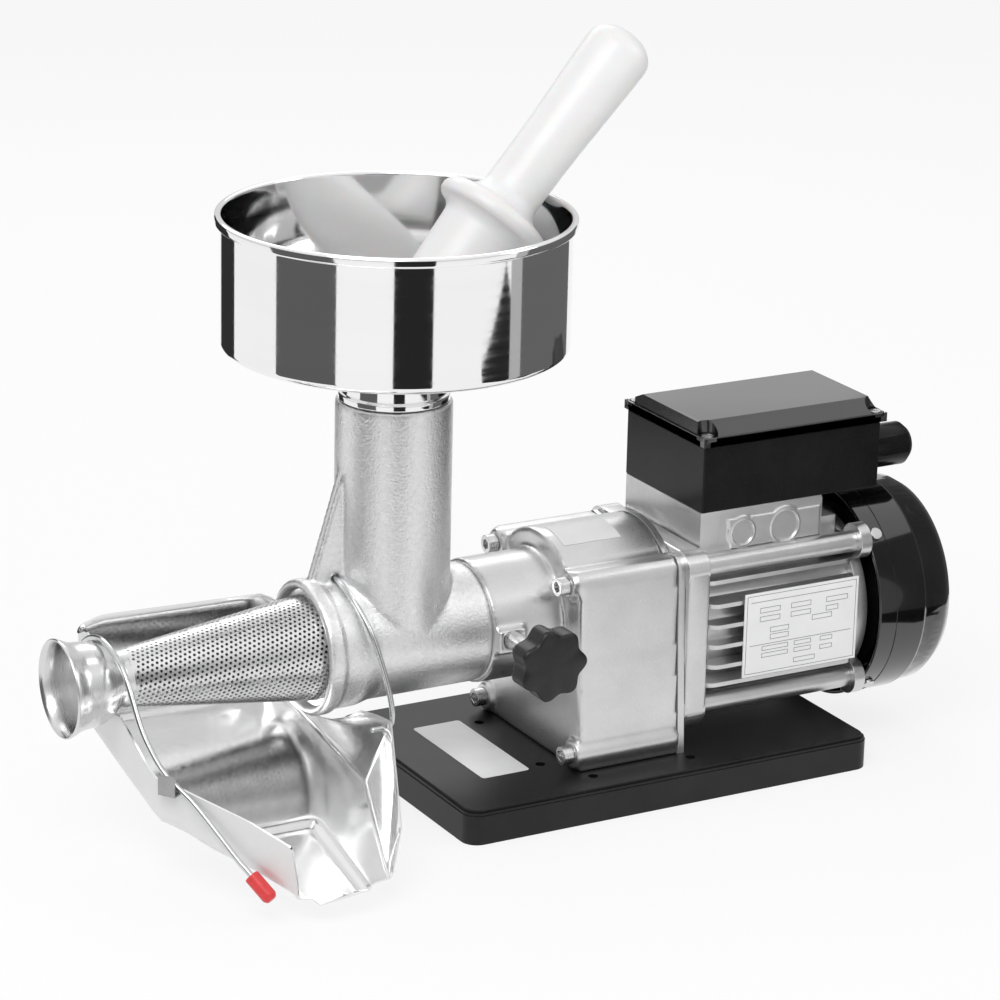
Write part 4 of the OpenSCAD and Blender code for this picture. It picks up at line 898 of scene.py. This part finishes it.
def makePad(k):
    # height over the pad's face: a raised panel with lobes under two round knock-outs, each a
    # sunk disc inside a raised rim
    x, z = np.meshgrid(*(np.arange(k[v][0], k[v][1] + 0.1, k["step"]) for v in ("x", "z")), indexing="ij")
    x0, x1, z0, z1 = k["panel"]
    gap = np.maximum(np.maximum(x0 + (z1 - z) * 0.15 - x, x - x1), np.maximum(z0 - z, z - z1))
    for cx, cz, r in k["discs"]:
        gap = np.minimum(gap, np.hypot(x - cx, z - cz) - r - 3.0)
    high = k["raise"] / (1 + np.exp(gap * 6))
    for cx, cz, r in k["discs"]:
        away = np.hypot(x - cx, z - cz) - r
        high -= k["sink"] / (1 + np.exp(away * 5))
        high += k["rim"] * np.exp(-((away - 0.6) / 0.5) ** 2)
    rows, cols = x.shape
    edge = (x == x.min()) | (x == x.max()) | (z == z.min()) | (z == z.max())
    y = np.where(edge, k["y"] + k["skirt"], k["y"] - 0.05 - high)
    ring = np.concatenate([np.arange(cols), np.arange(1, rows) * cols + cols - 1,
                           (rows - 1) * cols + np.arange(cols - 2, -1, -1),
                           np.arange(rows - 2, 0, -1) * cols])
    piece("padPanel", np.stack([x, y, z], -1) / 1000.0, gridFaces(rows, cols).tolist() + [ring.tolist()],
          "base", "motorCasting", [], 60)


makePad(pad)


def strips(name, lines, look):
    # flat printed lines on the plane y = const, each a thin bar from corner to corner
    a = np.asarray(lines, float)
    corner = np.array([[0, 0, 0], [1, 0, 0], [1, 0, 1], [0, 0, 1], [0, 1, 0], [1, 1, 0], [1, 1, 1],
                       [0, 1, 1]])
    points = a[:, None, :3] + corner[None] * (a[:, None, 3:] - a[:, None, :3])
    box = np.array([[0, 1, 2, 3], [4, 7, 6, 5], [0, 4, 5, 1], [1, 5, 6, 2], [2, 6, 7, 3], [3, 7, 4, 0]])
    faces = (np.arange(len(a))[:, None, None] * 8 + box[None]).reshape(-1, 4)
    piece(name, points / 1000.0, faces, "base", look, [], 30)


def frames(cells, deep, front, line=0.28):
    # four bars round each cell given as [x, z, width, height]
    bars = []
    for x, z, w, h in cells:
        bars += [(x, front, z, x + w, deep, z + line), (x, front, z + h - line, x + w, deep, z + h),
                 (x, front, z, x + line, deep, z + h), (x + w - line, front, z, x + w, deep, z + h)]
    return bars


# the nameplate's boxes as x, z, width and height, and its ruled lines as x, z and length
plate = {"face": -55.8, "proud": 0.03, "sunk": 0.02, "rule": 0.3,
         "cells": [(64, 93, 13, 3), (64, 88, 13, 3), (71, 81, 12, 3), (71, 77, 12, 3), (84, 93, 13, 3),
                   (84, 88, 13, 3), (98, 84, 13, 3), (107, 93, 14, 3), (107, 88, 8, 3), (66, 71, 17, 2.6),
                   (66, 67, 17, 2.6), (87, 71, 11, 2.6), (87, 67, 11, 2.6), (87, 61, 14, 2.8),
                   (104, 71, 8, 2.6), (104, 66, 8, 2.6), (55.5, 58.5, 71, 45)],
         "rules": [(58, 99.5, 66), (58, 74.6, 66)]}


def makePlateLines(k):
    deep, front = k["face"] + k["sunk"], k["face"] - k["proud"]
    rules = [(x, front, z, x + w, deep, z + k["rule"]) for x, z, w in k["rules"]]
    strips("plateLines", frames(k["cells"], deep, front) + rules, "printInk")


makePlateLines(plate)

crown = {"x": (-39.5, -4.0), "turn": (1.5, -25.0), "radius": 45.25, "thick": 0.5, "steps": 13}


def makeCrownLabel(c):
    # a strip of a cylinder: outer arc, then the inner arc back, swept from one x to the other
    a, n = np.radians(np.linspace(*c["turn"], c["steps"])), 2 * c["steps"]
    r = np.repeat([c["radius"], c["radius"] - c["thick"]], c["steps"])
    a = np.concatenate([a, a[::-1]])
    loop = np.stack([0 * a, r * np.sin(a), r * np.cos(a) + wormZ * 1000], -1)
    points = np.stack([loop + (x, 0, 0) for x in c["x"]])
    faces = gridFaces(2, n, False, True).tolist() + [list(range(n)), list(range(2 * n - 1, n - 1, -1))]
    piece("crownLabel", points / 1000.0, faces, "base", "labelPaper", [], 30)


makeCrownLabel(crown)

seam = {"x": 151.4, "radius": 61.5, "deep": 0.5, "proud": 0.35, "foot": 0.5, "crest": 0.2}


def makeSeam(k):
    # a low bead round the fan cover
    low, high, x = k["radius"] - k["deep"], k["radius"] + k["proud"], k["x"]
    points, faces = turned([[low, x - k["foot"]], [high, x - k["crest"]], [high, x + k["crest"]],
                            [low, x + k["foot"]]], "x", (0, 0, motorZ), 160)
    piece("coverSeam", points, faces, "base", "coverPaint", [], 30)


makeSeam(seam)
print("drive details done")

# Wires
wires = {
    "radius": 1.5,
    "arch": [
        (-168, 0, 36.7), (-167.7, 12, 34.9), (-166.3, 25, 27.6), (-163.5, 35, 16), (-160.6, 41, 2),
        (-158.2, 45, -12)],
    "frontEnd": [
        (-156.9, 47.2, -24), (-157.2, 47.5, -30), (-160, 47.5, -32.4), (-164, 47.5, -32.5),
        (-168, 47.5, -32.5)],
    "backEnd": [
        (-157.6, 49, -22), (-159.6, 52, -29), (-162.6, 52.6, -31.9), (-163.5, 50.5, -32.5),
        (-163.5, 47, -32.5), (-163.5, 42.5, -32.5)],
    "latch": [
        (-288, 40, -20), (-295, 40, -20), (-298.2, 40, -19.4), (-299.6, 39, -15), (-300, 34, -2),
        (-300, 27, 10), (-300, 17, 18), (-300, 6, 22), (-300, -4, 22.7), (-300, -17, 19.5),
        (-299.5, -29, 12), (-298.5, -45, -10), (-295.5, -55, -23), (-292, -62.5, -31),
        (-287.8, -69.5, -36.5), (-283, -79, -43.5), (-272, -100, -64), (-269.5, -104.3, -68),
        (-267, -108.7, -72), (-264.5, -113, -76)],
}


def makeWires(w):
    lift = np.array([0, 0, wormZ * 1000])
    front = np.array(w["arch"] + w["frontEnd"], float)[::-1] * (1, -1, 1)
    whole = np.concatenate([front, np.array(w["arch"][1:] + w["backEnd"], float)])
    points, faces = tube(smoothLine(whole + lift), w["radius"])
    piece("rearBail", points, faces, "head", "wireSteel", ["rear_wire"], 60)
    points, faces = tube(smoothLine(np.array(w["latch"], float) + lift), w["radius"])
    piece("latchWire", points, faces, "latch", "wireSteel", ["latch_wire"], 60)


makeWires(wires)
print("turned and swept pieces done")
